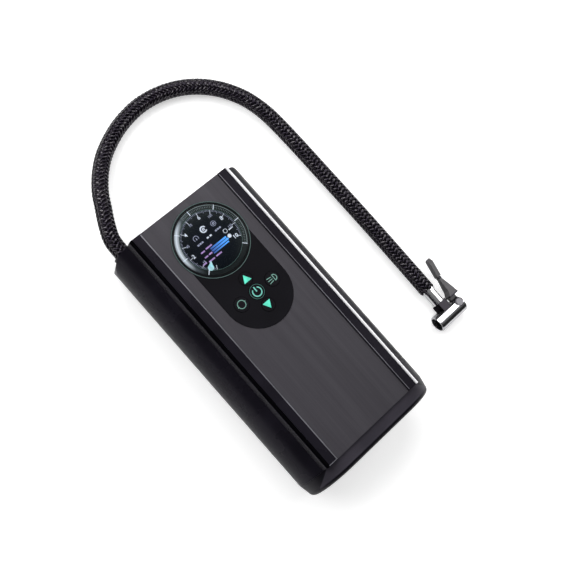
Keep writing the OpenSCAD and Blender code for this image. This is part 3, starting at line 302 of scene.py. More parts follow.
def capPaintedLightAndShade(setup):
    # painted light and shade: lighter satin on the front of the cap as the lit face, painted black
    # shade where it runs into the rounded sides and the end
    material, tree, shader, place = newMaterial("cap_grey")
    split = tree.nodes.new("ShaderNodeSeparateXYZ")
    linkNodes(tree, ((place, "Object"), (split, 0)))

    def mathNode(operation, *terms):
        node = tree.nodes.new("ShaderNodeMath")
        node.operation = operation
        for socket, term in enumerate(terms):
            if isinstance(term, float):
                node.inputs[socket].default_value = term
            else:
                linkNodes(tree, (term, (node, socket)))
        return node, 0

    def edgeShare(limit, value, sharpness):
        # 1 where value lies inside the limit, 0 outside, half on the edge
        return mathNode("MULTIPLY_ADD", mathNode("SUBTRACT", limit, value), sharpness, 0.5)

    depth = mathNode("SUBTRACT", setup["joint"], (split, "Y"))
    reach = mathNode("MULTIPLY_ADD", depth, setup["flare"], setup["halfWidth"])
    sideways = mathNode("ABSOLUTE", (split, "X"))
    inside = edgeShare(reach, sideways, setup["sideSharpness"])
    before = edgeShare(setup["faceLength"], depth, setup["endSharpness"])
    front = edgeShare((split, "Z"), setup["lowest"], setup["lowSharpness"])
    share = mathNode("MINIMUM", mathNode("MINIMUM", inside, before), front)
    paintedLitFace = rampNode(tree, noiseNode(tree, place, setup["patches"]),
                     (rampStart, setup["paintedLitFaceDark"]), (rampEnd, setup["paintedLitFaceLight"]))
    mix = tree.nodes.new("ShaderNodeMix")
    mix.data_type = "RGBA"
    colourA, colourB, colourOut = 6, 7, 2
    # painted shade: black on the rounded sides and the end
    setInputs(mix, {colourA: (*setup["black"], 1)})
    linkNodes(tree, (share, (mix, 0)), (paintedLitFace, (mix, colourB)),
              ((mix, colourOut), (shader, "Base Color")))
    setInputs(shader, setup["surface"])
    bumpNode(tree, noiseNode(tree, place, setup["grain"], 2.0), shader, setup["grainDepth"])
    return material


lensFinish = {"Alpha": 0.12, "IOR": 1.45, "Specular Tint": (0.85, 1.0, 0.97, 1),
              "Roughness": 0.28}
lensTint = {"scale": 30.0, "dark": (0.006, 0.011, 0.011), "light": (0.010, 0.015, 0.015)}


def lensGlass():
    # thin clear cover: the dial shows through, with soft reflections on top
    material, tree, shader, place = newMaterial("lens_clear")
    ramp = rampNode(tree, noiseNode(tree, place, lensTint["scale"], 1.0),
                    (rampStart, lensTint["dark"]), (rampEnd, lensTint["light"]))
    linkNodes(tree, (ramp, (shader, "Base Color")))
    setInputs(shader, lensFinish)
    return material


lampFinish = {"Base Color": (0.92, 0.92, 0.90, 1), "Transmission Weight": 0.85,
              "Roughness": 0.25}
lampRipple = {"scale": 900, "depth": 0.00015}


def lampGlass():
    material, tree, shader, place = newMaterial("lamp_clear")
    setInputs(shader, lampFinish)
    ripple = tree.nodes.new("ShaderNodeTexVoronoi")
    setInputs(ripple, {"Scale": lampRipple["scale"]})
    linkNodes(tree, ((place, "Object"), (ripple, "Vector")))
    bumpNode(tree, (ripple, 0), shader, lampRipple["depth"])
    return material


screenSetup = {"height": 47.5, "spread": 45, "edge": (0.0004, 0.0005, 0.0012),
               "middle": (0.0010, 0.0013, 0.0055),
               "surface": {"Emission Strength": 1.0, "Roughness": 0.4,
                           "Specular IOR Level": 0.0}}


def screenPanel(setup):
    # near-black blue with a faint glow round the middle of the dial
    material, tree, shader, place = newMaterial("screen")
    cx, cy = displayCentre
    centre = mappingNode(tree, place,
                         {"Location": (-cx * mm, -cy * mm, -setup["height"] * mm)})
    spread = tree.nodes.new("ShaderNodeMapping")
    setInputs(spread, {"Scale": (setup["spread"],) * 3})
    glow = tree.nodes.new("ShaderNodeTexGradient")
    glow.gradient_type = "SPHERICAL"
    linkNodes(tree, (centre, (spread, "Vector")), ((spread, 0), (glow, "Vector")))
    ramp = rampNode(tree, (glow, 0), (0.0, setup["edge"]), (1.0, setup["middle"]))
    linkNodes(tree, (ramp, (shader, "Base Color")), (ramp, (shader, "Emission Color")))
    setInputs(shader, setup["surface"])
    return material


# marks lit from behind
markColours = {
    "dialWhite": (0.44, 0.49, 0.57), "dialDim": (0.20, 0.22, 0.31),
    "dialViolet": (0.26, 0.16, 0.38), "dialCyan": (0.27, 0.46, 0.50),
    "dialTeal": (0.045, 0.095, 0.088), "dialRimGrey": (0.10, 0.13, 0.135),
    "markBright": (0.050, 0.40, 0.285), "markSoft": (0.078, 0.29, 0.24),
    "markGrey": (0.070, 0.155, 0.130), "markFaint": (0.012, 0.060, 0.050),
    "bezelTeal": (0.030, 0.055, 0.052),
}
markSetup = {"flicker": 0.15, "scale": 420.0,
             "surface": {"Emission Strength": 1.0, "Roughness": 0.4}}


def litMark(name):
    # made once, then given again
    if name in materials:
        return materials[name]
    material, tree, shader, place = newMaterial(name)
    low, high = (scaledColour(markColours[name], 1 + side * markSetup["flicker"])
                 for side in (-1, 1))
    ramp = rampNode(tree, noiseNode(tree, place, markSetup["scale"], 2.0),
                    (rampStart, low), (rampEnd, high))
    linkNodes(tree, (ramp, (shader, "Emission Color")), (ramp, (shader, "Base Color")))
    setInputs(shader, markSetup["surface"])
    materials[name] = material
    return material


def dressNode(node, material):
    node.data.materials.clear()
    node.data.materials.append(material)


materials = {name: plainFinish(name, *values) for name, values in plainFinishes.items()}
for name, level in reflectionLevels.items():
    setInputs(materials[name].node_tree.nodes["Principled BSDF"],
              {"Specular IOR Level": level, "Specular Tint": coolTint})
materials["plate_grey"] = brushedPlate(plateSetup)
materials["cap_grey"] = capPaintedLightAndShade(capSetup)
materials["lens_clear"] = lensGlass()
materials["lamp_clear"] = lampGlass()
materials["screen"] = screenPanel(screenSetup)
for part in frame["record"]["subparts"]:
    if part["material_slot"] in materials:
        dressNode(nodes[part["node"]], materials[part["material_slot"]])
dressNode(nodes["lever_pin"], plainFinish("pinSteel", *pinFinish))
print("materials made:", len(materials))

# braided hose; sizes and route in mm
hoseSetup = {
    "diameter": 9.5, "carriers": 8, "lead": 20.0, "strandWidth": 2.05,
    "strandThickness": 0.85, "stepsPerCrossing": 2, "wave": 0.30, "waveSharpness": 1.6,
    "strandSides": 6, "coreGap": 0.1, "coreSides": 20, "coreSteps": 360, "curveSteps": 24,
    "samples": 1400, "pathPoints": 241,
}
hoseRoute = [
    (-33, 83, 15), (-32.4, 93, 15), (-28.6, 102, 14.6), (-24, 110, 13.4), (-18.4, 119.3, 11.6),
    (-9.7, 129.1, 8.8), (0.7, 137.2, 6.6), (15.6, 144.2, 5.2), (30.2, 147.4, 5.2),
    (42.1, 147.4, 5.2), (53.4, 145.1, 5.2), (63.1, 141.1, 5.2), (71.7, 135.4, 5.2),
    (79.2, 128.1, 5.2), (85.2, 119.4, 5.2), (89.4, 110, 5.2), (92.2, 97, 5.2), (93.2, 79, 5.2),
    (93.5, 60, 5.2), (93.8, 34.5, 5.2), (94, 6, 5.2), (93.9, -18, 5.2), (93.6, -43.6, 5.2)]


def unitRows(rows):
    return rows / np.linalg.norm(rows, axis=1)[:, None]


def smoothRoute(points, stepsPerPart):
    p = np.array(points, float)
    p = np.vstack([2 * p[0] - p[1], p, 2 * p[-1] - p[-2]])
    t = (np.arange(stepsPerPart) / stepsPerPart)[:, None]
    found = []
    for i in range(1, len(p) - 2):
        a, b, c, d = p[i - 1], p[i], p[i + 1], p[i + 2]
        found.append(0.5 * (2 * b + (c - a) * t + (2 * a - 5 * b + 4 * c - d) * t ** 2
                            + (3 * b - a - 3 * c + d) * t ** 3))
    return np.vstack(found + [p[-2]])


def evenRoute(points, count):
    length = np.concatenate([[0], np.cumsum(np.linalg.norm(np.diff(points, axis=0), axis=1))])
    even = np.linspace(0, length[-1], count)
    return np.stack([np.interp(even, length, points[:, k]) for k in range(3)], 1), length[-1]


def routeFrames(points):
    tangents = unitRows(np.gradient(points, axis=0))
    sides = np.zeros_like(points)
    sides[0] = np.cross(tangents[0], (0, 0, 1.0))
    sides[0] /= np.linalg.norm(sides[0])
    for i in range(1, len(points)):
        side = sides[i - 1] - tangents[i] * (sides[i - 1] @ tangents[i])
        sides[i] = side / np.linalg.norm(side)
    return sides, np.cross(sides, tangents)


def stripFaces(rings, around, start):
    i = np.arange(rings - 1)[:, None] * around
    k = np.arange(around)[None, :]
    a, b = i + k, i + (k + 1) % around
    quads = np.stack([a, a + around, b + around, b], -1).reshape(-1, 4) + start
    firstCap = [start + j for j in range(around)]
    lastCap = [start + (rings - 1) * around + j for j in range(around)][::-1]
    return quads.tolist() + [firstCap, lastCap]


def makeHose(setup, route):
    line, length = evenRoute(smoothRoute(route, setup["curveSteps"]), setup["samples"])
    sides, ups = routeFrames(line)
    travel = np.linspace(0, length, setup["samples"])
    radius, wave = setup["diameter"] / 2, setup["wave"]
    n, lead = setup["carriers"], setup["lead"]
    verts, faces = [], []

    def addTube(turn, out, width, thickness, steps, around):
        # turn and distance from the middle at each step along the route
        at = np.linspace(0, length, steps)

        def pick(rows):
            return np.stack([np.interp(at, travel, rows[:, k]) for k in range(3)], 1)

        outward = np.cos(turn)[:, None] * pick(sides) + np.sin(turn)[:, None] * pick(ups)
        path = pick(line) + outward * out[:, None]
        along = unitRows(np.gradient(path, axis=0))
        across = unitRows(np.cross(along, outward))
        angle = 2 * np.pi * (np.arange(around) + 0.5) / around
        ring = (path[:, None, :]
                + np.cos(angle)[None, :, None] * across[:, None, :] * width / 2
                + np.sin(angle)[None, :, None] * outward[:, None, :] * thickness / 2)
        start = sum(len(v) for v in verts)
        verts.append(ring.reshape(-1, 3))
        faces.extend(stripFaces(steps, around, start))

    crossings = 2 * n * length / lead
    steps = int(crossings * setup["stepsPerCrossing"]) + 1
    at = np.linspace(0, length, steps)
    strandRadius = radius - setup["strandThickness"] / 2
    for direction in (1, -1):
        for j in range(n):
            turn = 2 * np.pi * (j / n + direction * at / lead)
            # which strand of the other set is met here, and whether this one lies over it
            met = j + direction * 2 * n * at / lead
            over = direction * np.sin((j + met) * np.pi / 2 - np.pi / 4)
            lift = np.clip(over * setup["waveSharpness"], -1, 1) * wave
            addTube(turn, strandRadius + lift - wave / 2, setup["strandWidth"],
                    setup["strandThickness"], steps, setup["strandSides"])
    strandFaceCount = len(faces)
    coreSteps = setup["coreSteps"]
    coreWidth = 2 * (radius - setup["strandThickness"] - setup["coreGap"])
    addTube(np.zeros(coreSteps), np.zeros(coreSteps), coreWidth, coreWidth, coreSteps,
            setup["coreSides"])
    mesh = bpy.data.meshes.new("braidedHose")
    mesh.from_pydata((np.vstack(verts) * mm).tolist(), [], faces)
    mesh.polygons.foreach_set("use_smooth", [True] * len(mesh.polygons))
    mesh.polygons.foreach_set("material_index", [0] * strandFaceCount
                              + [1] * (len(faces) - strandFaceCount))
    hose = bpy.data.objects.new("braidedHose", mesh)
    scene.collection.objects.link(hose)
    path = evenRoute(line, setup["pathPoints"])[0] * mm
    return hose, path, length * mm


braidSetup = {"thread": 1500.0, "threadDepth": 0.00008, "patches": 260.0,
              "dark": (0.0010, 0.0008, 0.0016), "light": (0.0055, 0.0044, 0.0068),
              "flecks": 620.0, "dullTint": (0.22, 0.19, 0.26), "glintTint": (1.0, 0.94, 1.0),
              "surface": {"Roughness": 0.16, "Specular IOR Level": 1.0}}


def braidMaterial(setup):
    material, tree, shader, place = newMaterial("hose_braid")
    thread = noiseNode(tree, place, setup["thread"])
    ramp = rampNode(tree, noiseNode(tree, place, setup["patches"], 2.0),
                    (0.3, setup["dark"]), (0.72, setup["light"]))
    # some threads glint, most stay dark
    glint = rampNode(tree, noiseNode(tree, place, setup["flecks"], 1.0),
                     (0.50, setup["dullTint"]), (0.64, setup["glintTint"]))
    linkNodes(tree, (ramp, (shader, "Base Color")), (glint, (shader, "Specular Tint")))
    setInputs(shader, setup["surface"])
    bumpNode(tree, thread, shader, setup["threadDepth"])
    return material


materials["hose_braid"] = braidMaterial(braidSetup)
hose, hosePath, hoseLength = makeHose(hoseSetup, hoseRoute)
hose.data.materials.append(materials["hose_braid"])
hose.data.materials.append(materials["inner_black"])
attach(hose, "casing")
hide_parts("hose")
print("hose made:", len(hose.data.polygons), "faces,", round(hoseLength, 4), "m")

# shapes that the marks and trims are made of; sizes in mm
cornerShare = 0.3
triangleCorner = 0.3
weldDistance, spunWeldDistance = 0.000001, 0.000002


def finishPiece(piece, name, material, body="casing"):
    bpy.ops.object.select_all(action="DESELECT")
    piece.select_set(True)
    bpy.context.view_layer.objects.active = piece
    bpy.ops.object.transform_apply(location=True, rotation=True, scale=True)
    piece.name = name
    piece.data.name = name
    dressNode(piece, material)
    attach(piece, body)


def joinPieces(pieces):
    bpy.ops.object.select_all(action="DESELECT")
    for piece in pieces:
        piece.select_set(True)
    bpy.context.view_layer.objects.active = pieces[0]
    if len(pieces) > 1:
        bpy.ops.object.join()
    return bpy.context.object


def weldSelected(distance):
    bpy.ops.mesh.select_all(action="SELECT")
    bpy.ops.mesh.remove_doubles(threshold=distance)


def addBar(x, y, z, width, length, thickness, turn=0.0):
    # a flat bar with all its edges rounded off
    bpy.ops.object.select_all(action="DESELECT")
    bpy.ops.mesh.primitive_cube_add(size=1, location=(x * mm, y * mm, z * mm),
                                    rotation=(0, 0, turn),
                                    scale=(width * mm, length * mm, thickness * mm))
    bar = bpy.context.object
    bpy.ops.object.transform_apply(location=False, rotation=False, scale=True)
    bevel = bar.modifiers.new("round", "BEVEL")
    bevel.width = min(width, length) * cornerShare * mm
    bevel.segments = 2
    bevel.limit_method = "ANGLE"
    bpy.ops.object.modifier_apply(modifier=bevel.name)
    return bar


def addRing(x, y, z, radius, stroke, thickness, steps=48, start=0.0, sweep=360.0):
    # a rectangle spun round the centre
    bpy.ops.object.select_all(action="DESELECT")
    turn = math.radians(start)
    bpy.ops.mesh.primitive_plane_add(size=1, location=((x + radius * math.cos(turn)) * mm,
                                                       (y + radius * math.sin(turn)) * mm,
                                                       z * mm))
    ring = bpy.context.object
    ring.scale = (stroke * mm, thickness * mm, 1)
    ring.rotation_euler = (math.pi / 2, 0, turn)
    bpy.ops.object.transform_apply(location=True, rotation=True, scale=True)
    bpy.ops.object.mode_set(mode="EDIT")
    bpy.ops.mesh.select_all(action="SELECT")
    bpy.ops.mesh.spin(steps=steps, angle=-math.radians(sweep),
                      center=(x * mm, y * mm, z * mm), axis=(0, 0, 1))
    weldSelected(spunWeldDistance)
    if sweep >= 360:
        # the start rectangle is left inside a closed ring
        bpy.ops.mesh.select_all(action="DESELECT")
        bpy.ops.mesh.select_interior_faces()
        bpy.ops.mesh.delete(type="FACE")
        bpy.ops.mesh.select_all(action="SELECT")
    bpy.ops.mesh.normals_make_consistent(inside=False)
    bpy.ops.object.mode_set(mode="OBJECT")
    return ring


def addTriangle(x, y, z, width, height, thickness, pointsUp=True, turn=0.0):
    bpy.ops.object.select_all(action="DESELECT")
    bpy.ops.mesh.primitive_cylinder_add(vertices=3, radius=1, depth=thickness * mm,
                                        location=(x * mm, y * mm, z * mm))
    triangle = bpy.context.object
    triangle.scale = (width / math.sqrt(3) * mm, height / 1.5 * mm, 1)
    bpy.ops.object.transform_apply(location=False, rotation=False, scale=True)
    triangle.rotation_euler.z += turn + (0 if pointsUp else math.pi)
    bpy.ops.object.transform_apply(location=False, rotation=True, scale=True)
    bevel = triangle.modifiers.new("round", "BEVEL")
    bevel.width = triangleCorner * mm
    bevel.segments = 3
    bevel.limit_method = "ANGLE"
    bevel.angle_limit = math.radians(100)
    bpy.ops.object.modifier_apply(modifier=bevel.name)
    return triangle


def addNumber(text, x, y, z, size, thickness, swell):
    bpy.ops.object.select_all(action="DESELECT")
    bpy.ops.object.text_add(location=(x * mm, y * mm, z * mm))
    number = bpy.context.object
    number.data.body = text
    number.data.size = size * mm
    number.data.align_x, number.data.align_y = "CENTER", "CENTER"
    number.data.resolution_u = 3
    number.data.offset = swell * mm
    number.data.extrude = thickness * mm / 2
    bpy.ops.object.convert(target="MESH")
    bpy.ops.object.mode_set(mode="EDIT")
    weldSelected(weldDistance)
    bpy.ops.mesh.normals_make_consistent(inside=False)
    bpy.ops.object.mode_set(mode="OBJECT")
    return bpy.context.object


def addTurned(profile, centre, steps=96):
    # the profile's (radius, height) points are drawn one after another, closed and spun round
    if profile[0][0] > 0:
        profile = profile + [profile[0]]
    bpy.ops.object.select_all(action="DESELECT")
    bpy.ops.mesh.primitive_plane_add(size=0.001, location=(0, 0, 0))
    turned = bpy.context.object
    bpy.ops.object.mode_set(mode="EDIT")
    bpy.ops.mesh.select_all(action="SELECT")
    bpy.ops.mesh.merge(type="CENTER")
    x, y = centre
    bpy.ops.transform.translate(value=((x + profile[0][0]) * mm, y * mm, profile[0][1] * mm))
    for before, after in zip(profile, profile[1:]):
        step = ((after[0] - before[0]) * mm, 0, (after[1] - before[1]) * mm)
        bpy.ops.mesh.extrude_region_move(TRANSFORM_OT_translate={"value": step})
    if profile[0][0] > 0:
        weldSelected(weldDistance)
    bpy.ops.mesh.select_all(action="SELECT")
    bpy.ops.mesh.spin(steps=steps, angle=2 * math.pi, center=(x * mm, y * mm, 0),
                      axis=(0, 0, 1))
    weldSelected(spunWeldDistance)
    bpy.ops.mesh.normals_make_consistent(inside=False)
    bpy.ops.object.mode_set(mode="OBJECT")
    return turned


shapeMakers = {"bar": addBar, "ring": addRing, "triangle": addTriangle}


def addShapes(shapes, centre, z, thickness):
    # a shape is its kind, its place from the centre, its two sizes and what else its maker takes
    cx, cy = centre
    return joinPieces([shapeMakers[kind](cx + x, cy + y, z, first, second, thickness, *rest)
                       for kind, x, y, first, second, *rest in shapes])


lensSetup = {"base": 47.6, "radius": 21.2, "rim": 0.75, "rise": 2.5, "glass": 0.9,
             "shoulder": 4.5, "fall": 0.72, "segments": 20, "around": 128, "smoothAngle": 40}


def makeLens(setup):
    base, radius, glass = setup["base"], setup["radius"], setup["glass"]

    def domeHeight(share):
        dome = (1 - share ** setup["shoulder"]) ** setup["fall"]
        return base + setup["rim"] + setup["rise"] * dome

    shares = [math.sin(k / setup["segments"] * math.pi / 2)
              for k in range(setup["segments"] + 1)]
    outer = [(radius * share, domeHeight(share)) for share in shares]
    inner = [((radius - glass) * share, domeHeight(share) - glass)
             for share in reversed(shares)]
    inner[0] = (radius - glass, base)
    lens = addTurned(outer + [(radius, base)] + inner, displayCentre, setup["around"])
    bpy.ops.object.shade_smooth_by_angle(angle=math.radians(setup["smoothAngle"]))
    finishPiece(lens, "domedLens", materials["lens_clear"])
    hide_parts("display_lens")


makeLens(lensSetup)
print("lens made")

# dial: ring, scale, numbers and readings
dialSetup = {"height": 47.53, "thickness": 0.03, "firstAngle": 240.0, "lastAngle": -30.0}
rimSetup = {
    "inner": 16.9, "outer": 19.5, "rise": 0.38, "lip": 0.05, "around": 128,
    # lines: (radius, width)
    "lineLift": 0.02, "lines": ((19.85, 0.26), (16.7, 0.14)),
    # painted highlight along the ring: near-black, then dull blue-green, then near-white towards
    # the light
    "paintedHighlightSide": 156.0, "colours": ((0.40, (0.004, 0.007, 0.009)),
                                     (0.64, (0.075, 0.095, 0.112)),
                                     (0.86, (0.80, 0.90, 1.0))),
    # how bright the painted highlight is across the ring: at its inner edge, where it peaks and at
    # its outer edge
    "innerShare": 0.35, "highlightPeakAt": 0.945, "highlightPeakShare": 1.0, "outerShare": 0.30,
    "surface": {"Base Color": (0.01, 0.01, 0.01, 1), "Emission Strength": 1.0,
                "Roughness": 0.5, "Specular IOR Level": 0.0},
}
rimScaleSetup = {"arc": ("ring", 0.0, 0.0, 19.1, 0.3, 96, -44, 150), "arcLift": 0.36,
                 "markRadius": 17.9, "markLift": 0.27, "markWidth": 0.16, "markLength": 1.0,
                 "degrees": range(-42, 106, 3)}


def aroundDial(angle, radius):
    cx, cy = displayCentre
    return cx + radius * math.cos(angle), cy + radius * math.sin(angle)


def dialAngle(share):
    first, last = dialSetup["firstAngle"], dialSetup["lastAngle"]
    return math.radians(first + share * (last - first))


def addTick(angle, radius, z, width, length):
    return addBar(*aroundDial(angle, radius), z, width, length, dialSetup["thickness"],
                  angle - math.pi / 2)


def rimWithPaintedHighlight(setup):
    # a glowing ring with a painted highlight: near-white on the side towards the light, peaking
    # part way across the ring, and dull blue-green on the rest of the ring
    material, tree, shader, place = newMaterial("dialRimPaintedHighlight")
    cx, cy = displayCentre
    mapping = mappingNode(tree, place, {
        "Location": (cx * mm, cy * mm, dialSetup["height"] * mm),
        "Rotation": (0, 0, math.radians(setup["paintedHighlightSide"])),
        "Scale": (setup["outer"] * mm,) * 3})
    mapping[0].vector_type = "TEXTURE"
    split = tree.nodes.new("ShaderNodeSeparateXYZ")
    reach = tree.nodes.new("ShaderNodeVectorMath")
    reach.operation = "LENGTH"
    shaded = tree.nodes.new("ShaderNodeVectorMath")
    shaded.operation = "MULTIPLY"
    linkNodes(tree, (mapping, (split, 0)), (mapping, (reach, 0)))
    along = rampNode(tree, (split, 0), *setup["colours"])
    across = rampNode(tree, (reach, "Value"),
                      (setup["inner"] / setup["outer"], (setup["innerShare"],) * 3),
                      (setup["highlightPeakAt"], (setup["highlightPeakShare"],) * 3),
                      (1.0, (setup["outerShare"],) * 3))
    linkNodes(tree, (along, (shaded, 0)), (across, (shaded, 1)),
              ((shaded, 0), (shader, "Emission Color")))
    setInputs(shader, setup["surface"])
    return material


def makeRim(setup, scaleSetup):
    # sloping ring under the glass, between the scale and the bezel, with two fine lines; the ring
    # carries a painted highlight
    z, thickness = dialSetup["height"], dialSetup["thickness"]
    inner, outer = setup["inner"], setup["outer"]
    profile = [(inner, z), (outer, z), (outer, z + setup["rise"]), (inner, z + setup["lip"])]
    ring = addTurned(profile, displayCentre, setup["around"])
    finishPiece(ring, "dialRimRing", rimWithPaintedHighlight(setup))
    lines = [("ring", 0.0, 0.0, radius, width, setup["around"])
             for radius, width in setup["lines"]]
    finishPiece(addShapes(lines, displayCentre, z + setup["lineLift"], thickness),
                "dialRimLines", litMark("dialTeal"))
    # second scale on the ring, on the side away from the light
    marks = [addShapes([scaleSetup["arc"]], displayCentre, z + scaleSetup["arcLift"], thickness)]
    for degrees in scaleSetup["degrees"]:
        marks.append(addTick(math.radians(degrees), scaleSetup["markRadius"],
                             z + scaleSetup["markLift"], scaleSetup["markWidth"],
                             scaleSetup["markLength"]))
    finishPiece(joinPieces(marks), "dialRimScale", litMark("dialRimGrey"))


# ticks: (width, length)
tickSetup = {"divisions": 100, "radius": 16.4, "long": (0.24, 2.4), "middle": (0.17, 1.5),
             "short": (0.17, 0.9), "pointer": (0.42, 2.8), "pointerOut": 1.6,
             "pointerLift": 0.4, "pointerDegrees": range(-45, 226, 45)}


def makeTicks(setup):
    z, radius, divisions = dialSetup["height"], setup["radius"], setup["divisions"]
    longTicks, shortTicks = [], []
    for i in range(divisions + 1):
        kind = "long" if i % 10 == 0 else "middle" if i % 5 == 0 else "short"
        width, length = setup[kind]
        tick = addTick(dialAngle(i / divisions), radius - length / 2, z, width, length)
        (longTicks if kind == "long" else shortTicks).append(tick)
    # pointers that run out under the glass's rim
    for degrees in setup["pointerDegrees"]:
        longTicks.append(addTick(math.radians(degrees), radius + setup["pointerOut"],
                                 z + setup["pointerLift"], *setup["pointer"]))
    finishPiece(joinPieces(longTicks), "dialLongTicks", litMark("dialWhite"))
    finishPiece(joinPieces(shortTicks), "dialShortTicks", litMark("dialDim"))


numberSetup = {
    # piece: (colour, values, what a value is multiplied by, radius, size, swell)
    "dialNumbers": ("dialWhite", (2, 4, 6, 8, 10), 1, 13.4, 3.1, 0.05),
    "dialSmallNumbers": ("dialDim", (1, 3, 5, 7, 9), 15, 13.0, 1.9, 0.03),
}


def makeNumbers(setup):
    fullScale = 10
    for name, (colour, values, factor, radius, size, swell) in setup.items():
        numbers = [addNumber(str(factor * value), *aroundDial(dialAngle(value / fullScale), radius),
                             dialSetup["height"], size, dialSetup["thickness"], swell)
                   for value in values]
        finishPiece(joinPieces(numbers), name, litMark(colour))


# three round signs in a row with short bars under each, lines, level bars, a knob and a drop
readingSetup = {
    # piece: (colour, lift, shapes)
    "dialSideSigns": ("dialDim", 0.0, [
        ("ring", -5.9, 5.3, 1.5, 0.3, 32, -35, 250), ("triangle", -5.9, 4.9, 0.8, 1.3),
        ("ring", 6.8, 6.0, 1.4, 0.25, 32), ("ring", 6.8, 6.0, 0.5, 0.35, 20),
        ("bar", -7.3, 1.7, 1.1, 0.9), ("bar", -5.9, 1.7, 1.1, 0.9), ("bar", -4.5, 1.7, 1.1, 0.9),
        ("bar", 5.4, 2.2, 1.1, 0.9), ("bar", 6.8, 2.2, 1.1, 0.9), ("bar", 8.2, 2.2, 1.1, 0.9)]),
    "dialMiddleSign": ("dialWhite", 0.0, [
        ("ring", 0.5, 6.8, 1.6, 0.75, 40, 20, 300), ("ring", 0.5, 6.8, 0.5, 0.45, 20),
        ("bar", -0.6, 1.9, 1.3, 0.9), ("bar", 1.4, 1.9, 1.3, 0.9)]),
    "dialReadingLines": ("dialViolet", 0.0, [
        ("bar", -7.9, -2.5, 2.6, 0.8), ("bar", -3.6, -2.2, 4.2, 0.8),
        ("bar", -8.1, -5.6, 2.2, 0.8), ("bar", -5.2, -5.5, 2.2, 0.8),
        ("bar", -6.9, -8.6, 4.0, 0.8), ("bar", -1.9, -8.5, 3.8, 0.8),
        ("bar", -11.4, -8.0, 2.6, 0.8)]),
    "dialLevelBars": ("dialBlue", 0.0, [
        ("bar", 1.8, -3.7, 11.0, 1.0), ("bar", 2.0, -5.1, 11.4, 1.1),
        ("bar", 1.6, -6.5, 10.6, 0.8)]),
    "dialKnob": ("dialWhite", 0.0, [
        ("ring", 9.1, -4.5, 0.55, 1.1, 24), ("ring", 9.1, -1.1, 1.1, 0.26, 32),
        ("bar", 12.4, -1.8, 2.8, 0.6)]),
    "dialDrop": ("dialCyan", 0.08, [
        ("triangle", -9.2, -10.3, 2.9, 3.6, True, -0.73),
        ("ring", -10.2, -11.5, 0.85, 1.6, 24)]),
}
levelSetup = {"shift": 0.35, "spread": 85, "dark": (0.010, 0.035, 0.20),
              "light": (0.05, 0.30, 0.85), "surface": {"Emission Strength": 1.0}}


def levelMaterial(setup):
    # blue that brightens along the bar
    material, tree, shader, place = newMaterial("dialBlue")
    mapping = mappingNode(tree, place, {"Location": (setup["shift"], 0, 0),
                                        "Scale": (setup["spread"],) * 3})
    run = tree.nodes.new("ShaderNodeTexGradient")
    linkNodes(tree, (mapping, (run, "Vector")))
    ramp = rampNode(tree, (run, 0), (0.0, setup["dark"]), (1.0, setup["light"]))
    linkNodes(tree, (ramp, (shader, "Emission Color")), (ramp, (shader, "Base Color")))
    setInputs(shader, setup["surface"])
    return material


def makeReadings(setup):
    materials["dialBlue"] = levelMaterial(levelSetup)
    for name, (colour, lift, shapes) in setup.items():
        reading = addShapes(shapes, displayCentre, dialSetup["height"] + lift,
                            dialSetup["thickness"])
        finishPiece(reading, name, litMark(colour))


makeRim(rimSetup, rimScaleSetup)
makeTicks(tickSetup)
makeNumbers(numberSetup)
makeReadings(readingSetup)
print("dial made")

# signs on the keys
keyPlaces = {"key_power": (0.0, 18.0), "key_up": (0.0, 27.0), "key_down": (0.0, 9.0),
             "key_mode": (-11.0, 18.0), "key_lamp": (11.0, 18.0)}
keySignSetup = {
    # piece: (key, colour, shapes)
    "powerSign": ("key_power", "markSoft", [
        ("ring", 0.0, -0.1, 2.5, 0.62, 48, 125, 290), ("bar", 0.0, 1.5, 0.7, 3.0)]),
    "powerRing": ("key_power", "markFaint", [("ring", 0.0, 0.0, 4.0, 0.25, 64)]),
    "upSign": ("key_up", "markBright", [("triangle", 0.0, -0.5, 5.0, 4.3)]),
    "downSign": ("key_down", "markBright", [("triangle", 0.0, 0.5, 5.0, 4.3, False)]),
    "modeSign": ("key_mode", "markGrey", [
        ("ring", 0.0, 0.0, 2.25, 0.42, 40, 20, 160), ("ring", 0.0, 0.0, 2.25, 0.42, 40, 200, 160),
        ("triangle", 2.3, 0.3, 1.3, 1.1, False), ("triangle", -2.3, -0.3, 1.3, 1.1)]),
    "lampSign": ("key_lamp", "markGrey", [
        ("ring", 1.0, 0.0, 1.7, 0.5, 24, -90, 180), ("bar", 1.0, 0.0, 0.5, 3.9),
        ("bar", -1.4, -1.35, 2.9, 0.48, 0.15), ("bar", -1.4, 0.0, 2.9, 0.48),
        ("bar", -1.4, 1.35, 2.9, 0.48, -0.15)]),
}
signHeight, signThickness = 47.92, 0.05


def makeKeySigns(setup):
    for name, (key, colour, shapes) in setup.items():
        sign = addShapes(shapes, keyPlaces[key], signHeight, signThickness)
        finishPiece(sign, name, litMark(colour), key)
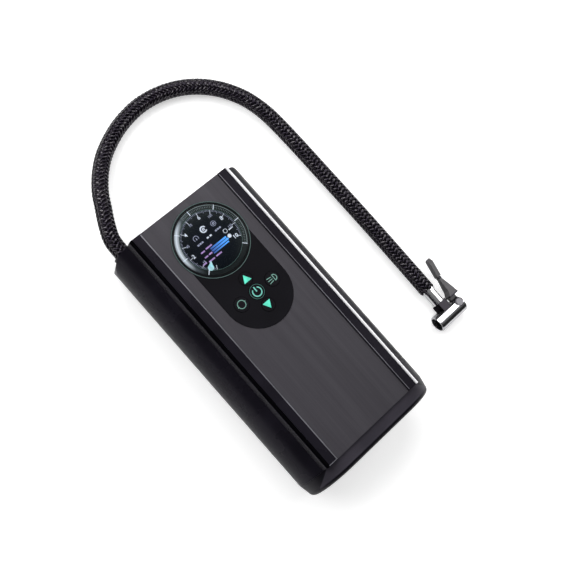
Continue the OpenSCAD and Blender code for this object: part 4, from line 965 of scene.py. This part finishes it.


# painted highlight lines on the edges beside the plate and at the left band's end
highlightLineSetup = {"plateEdge": 26.8, "foot": -74.0, "top": 80.0, "height": 47.98, "width": 0.6,
             "thickness": 0.12, "gap": 0.12, "shorter": 1.0, "rightShift": 0.35,
             "rightShare": 0.6, "bandStart": -33.6, "bandStop": -26.9, "bandIn": 0.35,
             "bandWidth": 0.4,
             "highlightLook": ((0.16, 0.16, 0.18), 0.6, 0.34, 2600, 0.000004, 0.25, 0.06)}


def makeHighlightLines(setup):
    # painted highlights on the chamfers: lighter strips along both bands beside the plate, and
    # across the left band's end
    material = plainFinish("paintedEdgeHighlight", *setup["highlightLook"])
    z, thickness, width = setup["height"], setup["thickness"], setup["width"]
    length = setup["top"] - setup["foot"] - setup["shorter"]
    middle = (setup["top"] + setup["foot"]) / 2
    x = setup["plateEdge"] + width / 2 + setup["gap"]
    start, stop = setup["bandStart"], setup["bandStop"]
    edges = {
        "leftPlateEdge": (-x, middle, z, width, length),
        "rightPlateEdge": (x + setup["rightShift"], middle, z, width * setup["rightShare"],
                           length),
        "leftBandEnd": ((start + stop) / 2, setup["foot"] + setup["bandIn"], z, stop - start,
                        setup["bandWidth"]),
    }
    for name, values in edges.items():
        finishPiece(addBar(*values, thickness), name, material)


chuckDarkSetup = {
    # dark band at the lever's neck, and a black strip under its wide end as a painted shadow line:
    # place, then three sizes
    "leverNeckBand": (104.55, -43.1, 5.2, 2.4, 1.5, 3.5),
    "leverFootShadow": (103.2, -55.5, 5.2, 6.5, 1.1, 7.95),
}
pinShadeSetup = {"centre": (101.8, -61.2), "around": 48,
               "profile": [(2.26, 7.6), (2.85, 7.6), (2.85, 10.1), (2.7, 10.35), (2.26, 10.35)]}


def makeChuckDarkPieces():
    black = materials["gloss_black"]
    for name, values in chuckDarkSetup.items():
        finishPiece(addBar(*values), name, black, "lever")
    # dark sleeve that stands round the lever pin's head, painted shade for the recess round it
    sleeve = addTurned(pinShadeSetup["profile"], pinShadeSetup["centre"], pinShadeSetup["around"])
    finishPiece(sleeve, "pinRecessShade", black)


bezelLineSetup = {"height": 47.62, "thickness": 0.12,
                  "shapes": [("ring", 0.0, 0.0, 21.0, 0.4, 128)]}


def makeBezelLine(setup):
    # thin blue-green line on the bezel round the glass
    line = addShapes(setup["shapes"], displayCentre, setup["height"], setup["thickness"])
    finishPiece(line, "bezelLine", litMark("bezelTeal"))


makeKeySigns(keySignSetup)
makeHighlightLines(highlightLineSetup)
makeChuckDarkPieces()
makeBezelLine(bezelLineSetup)
print("key signs and trims made")
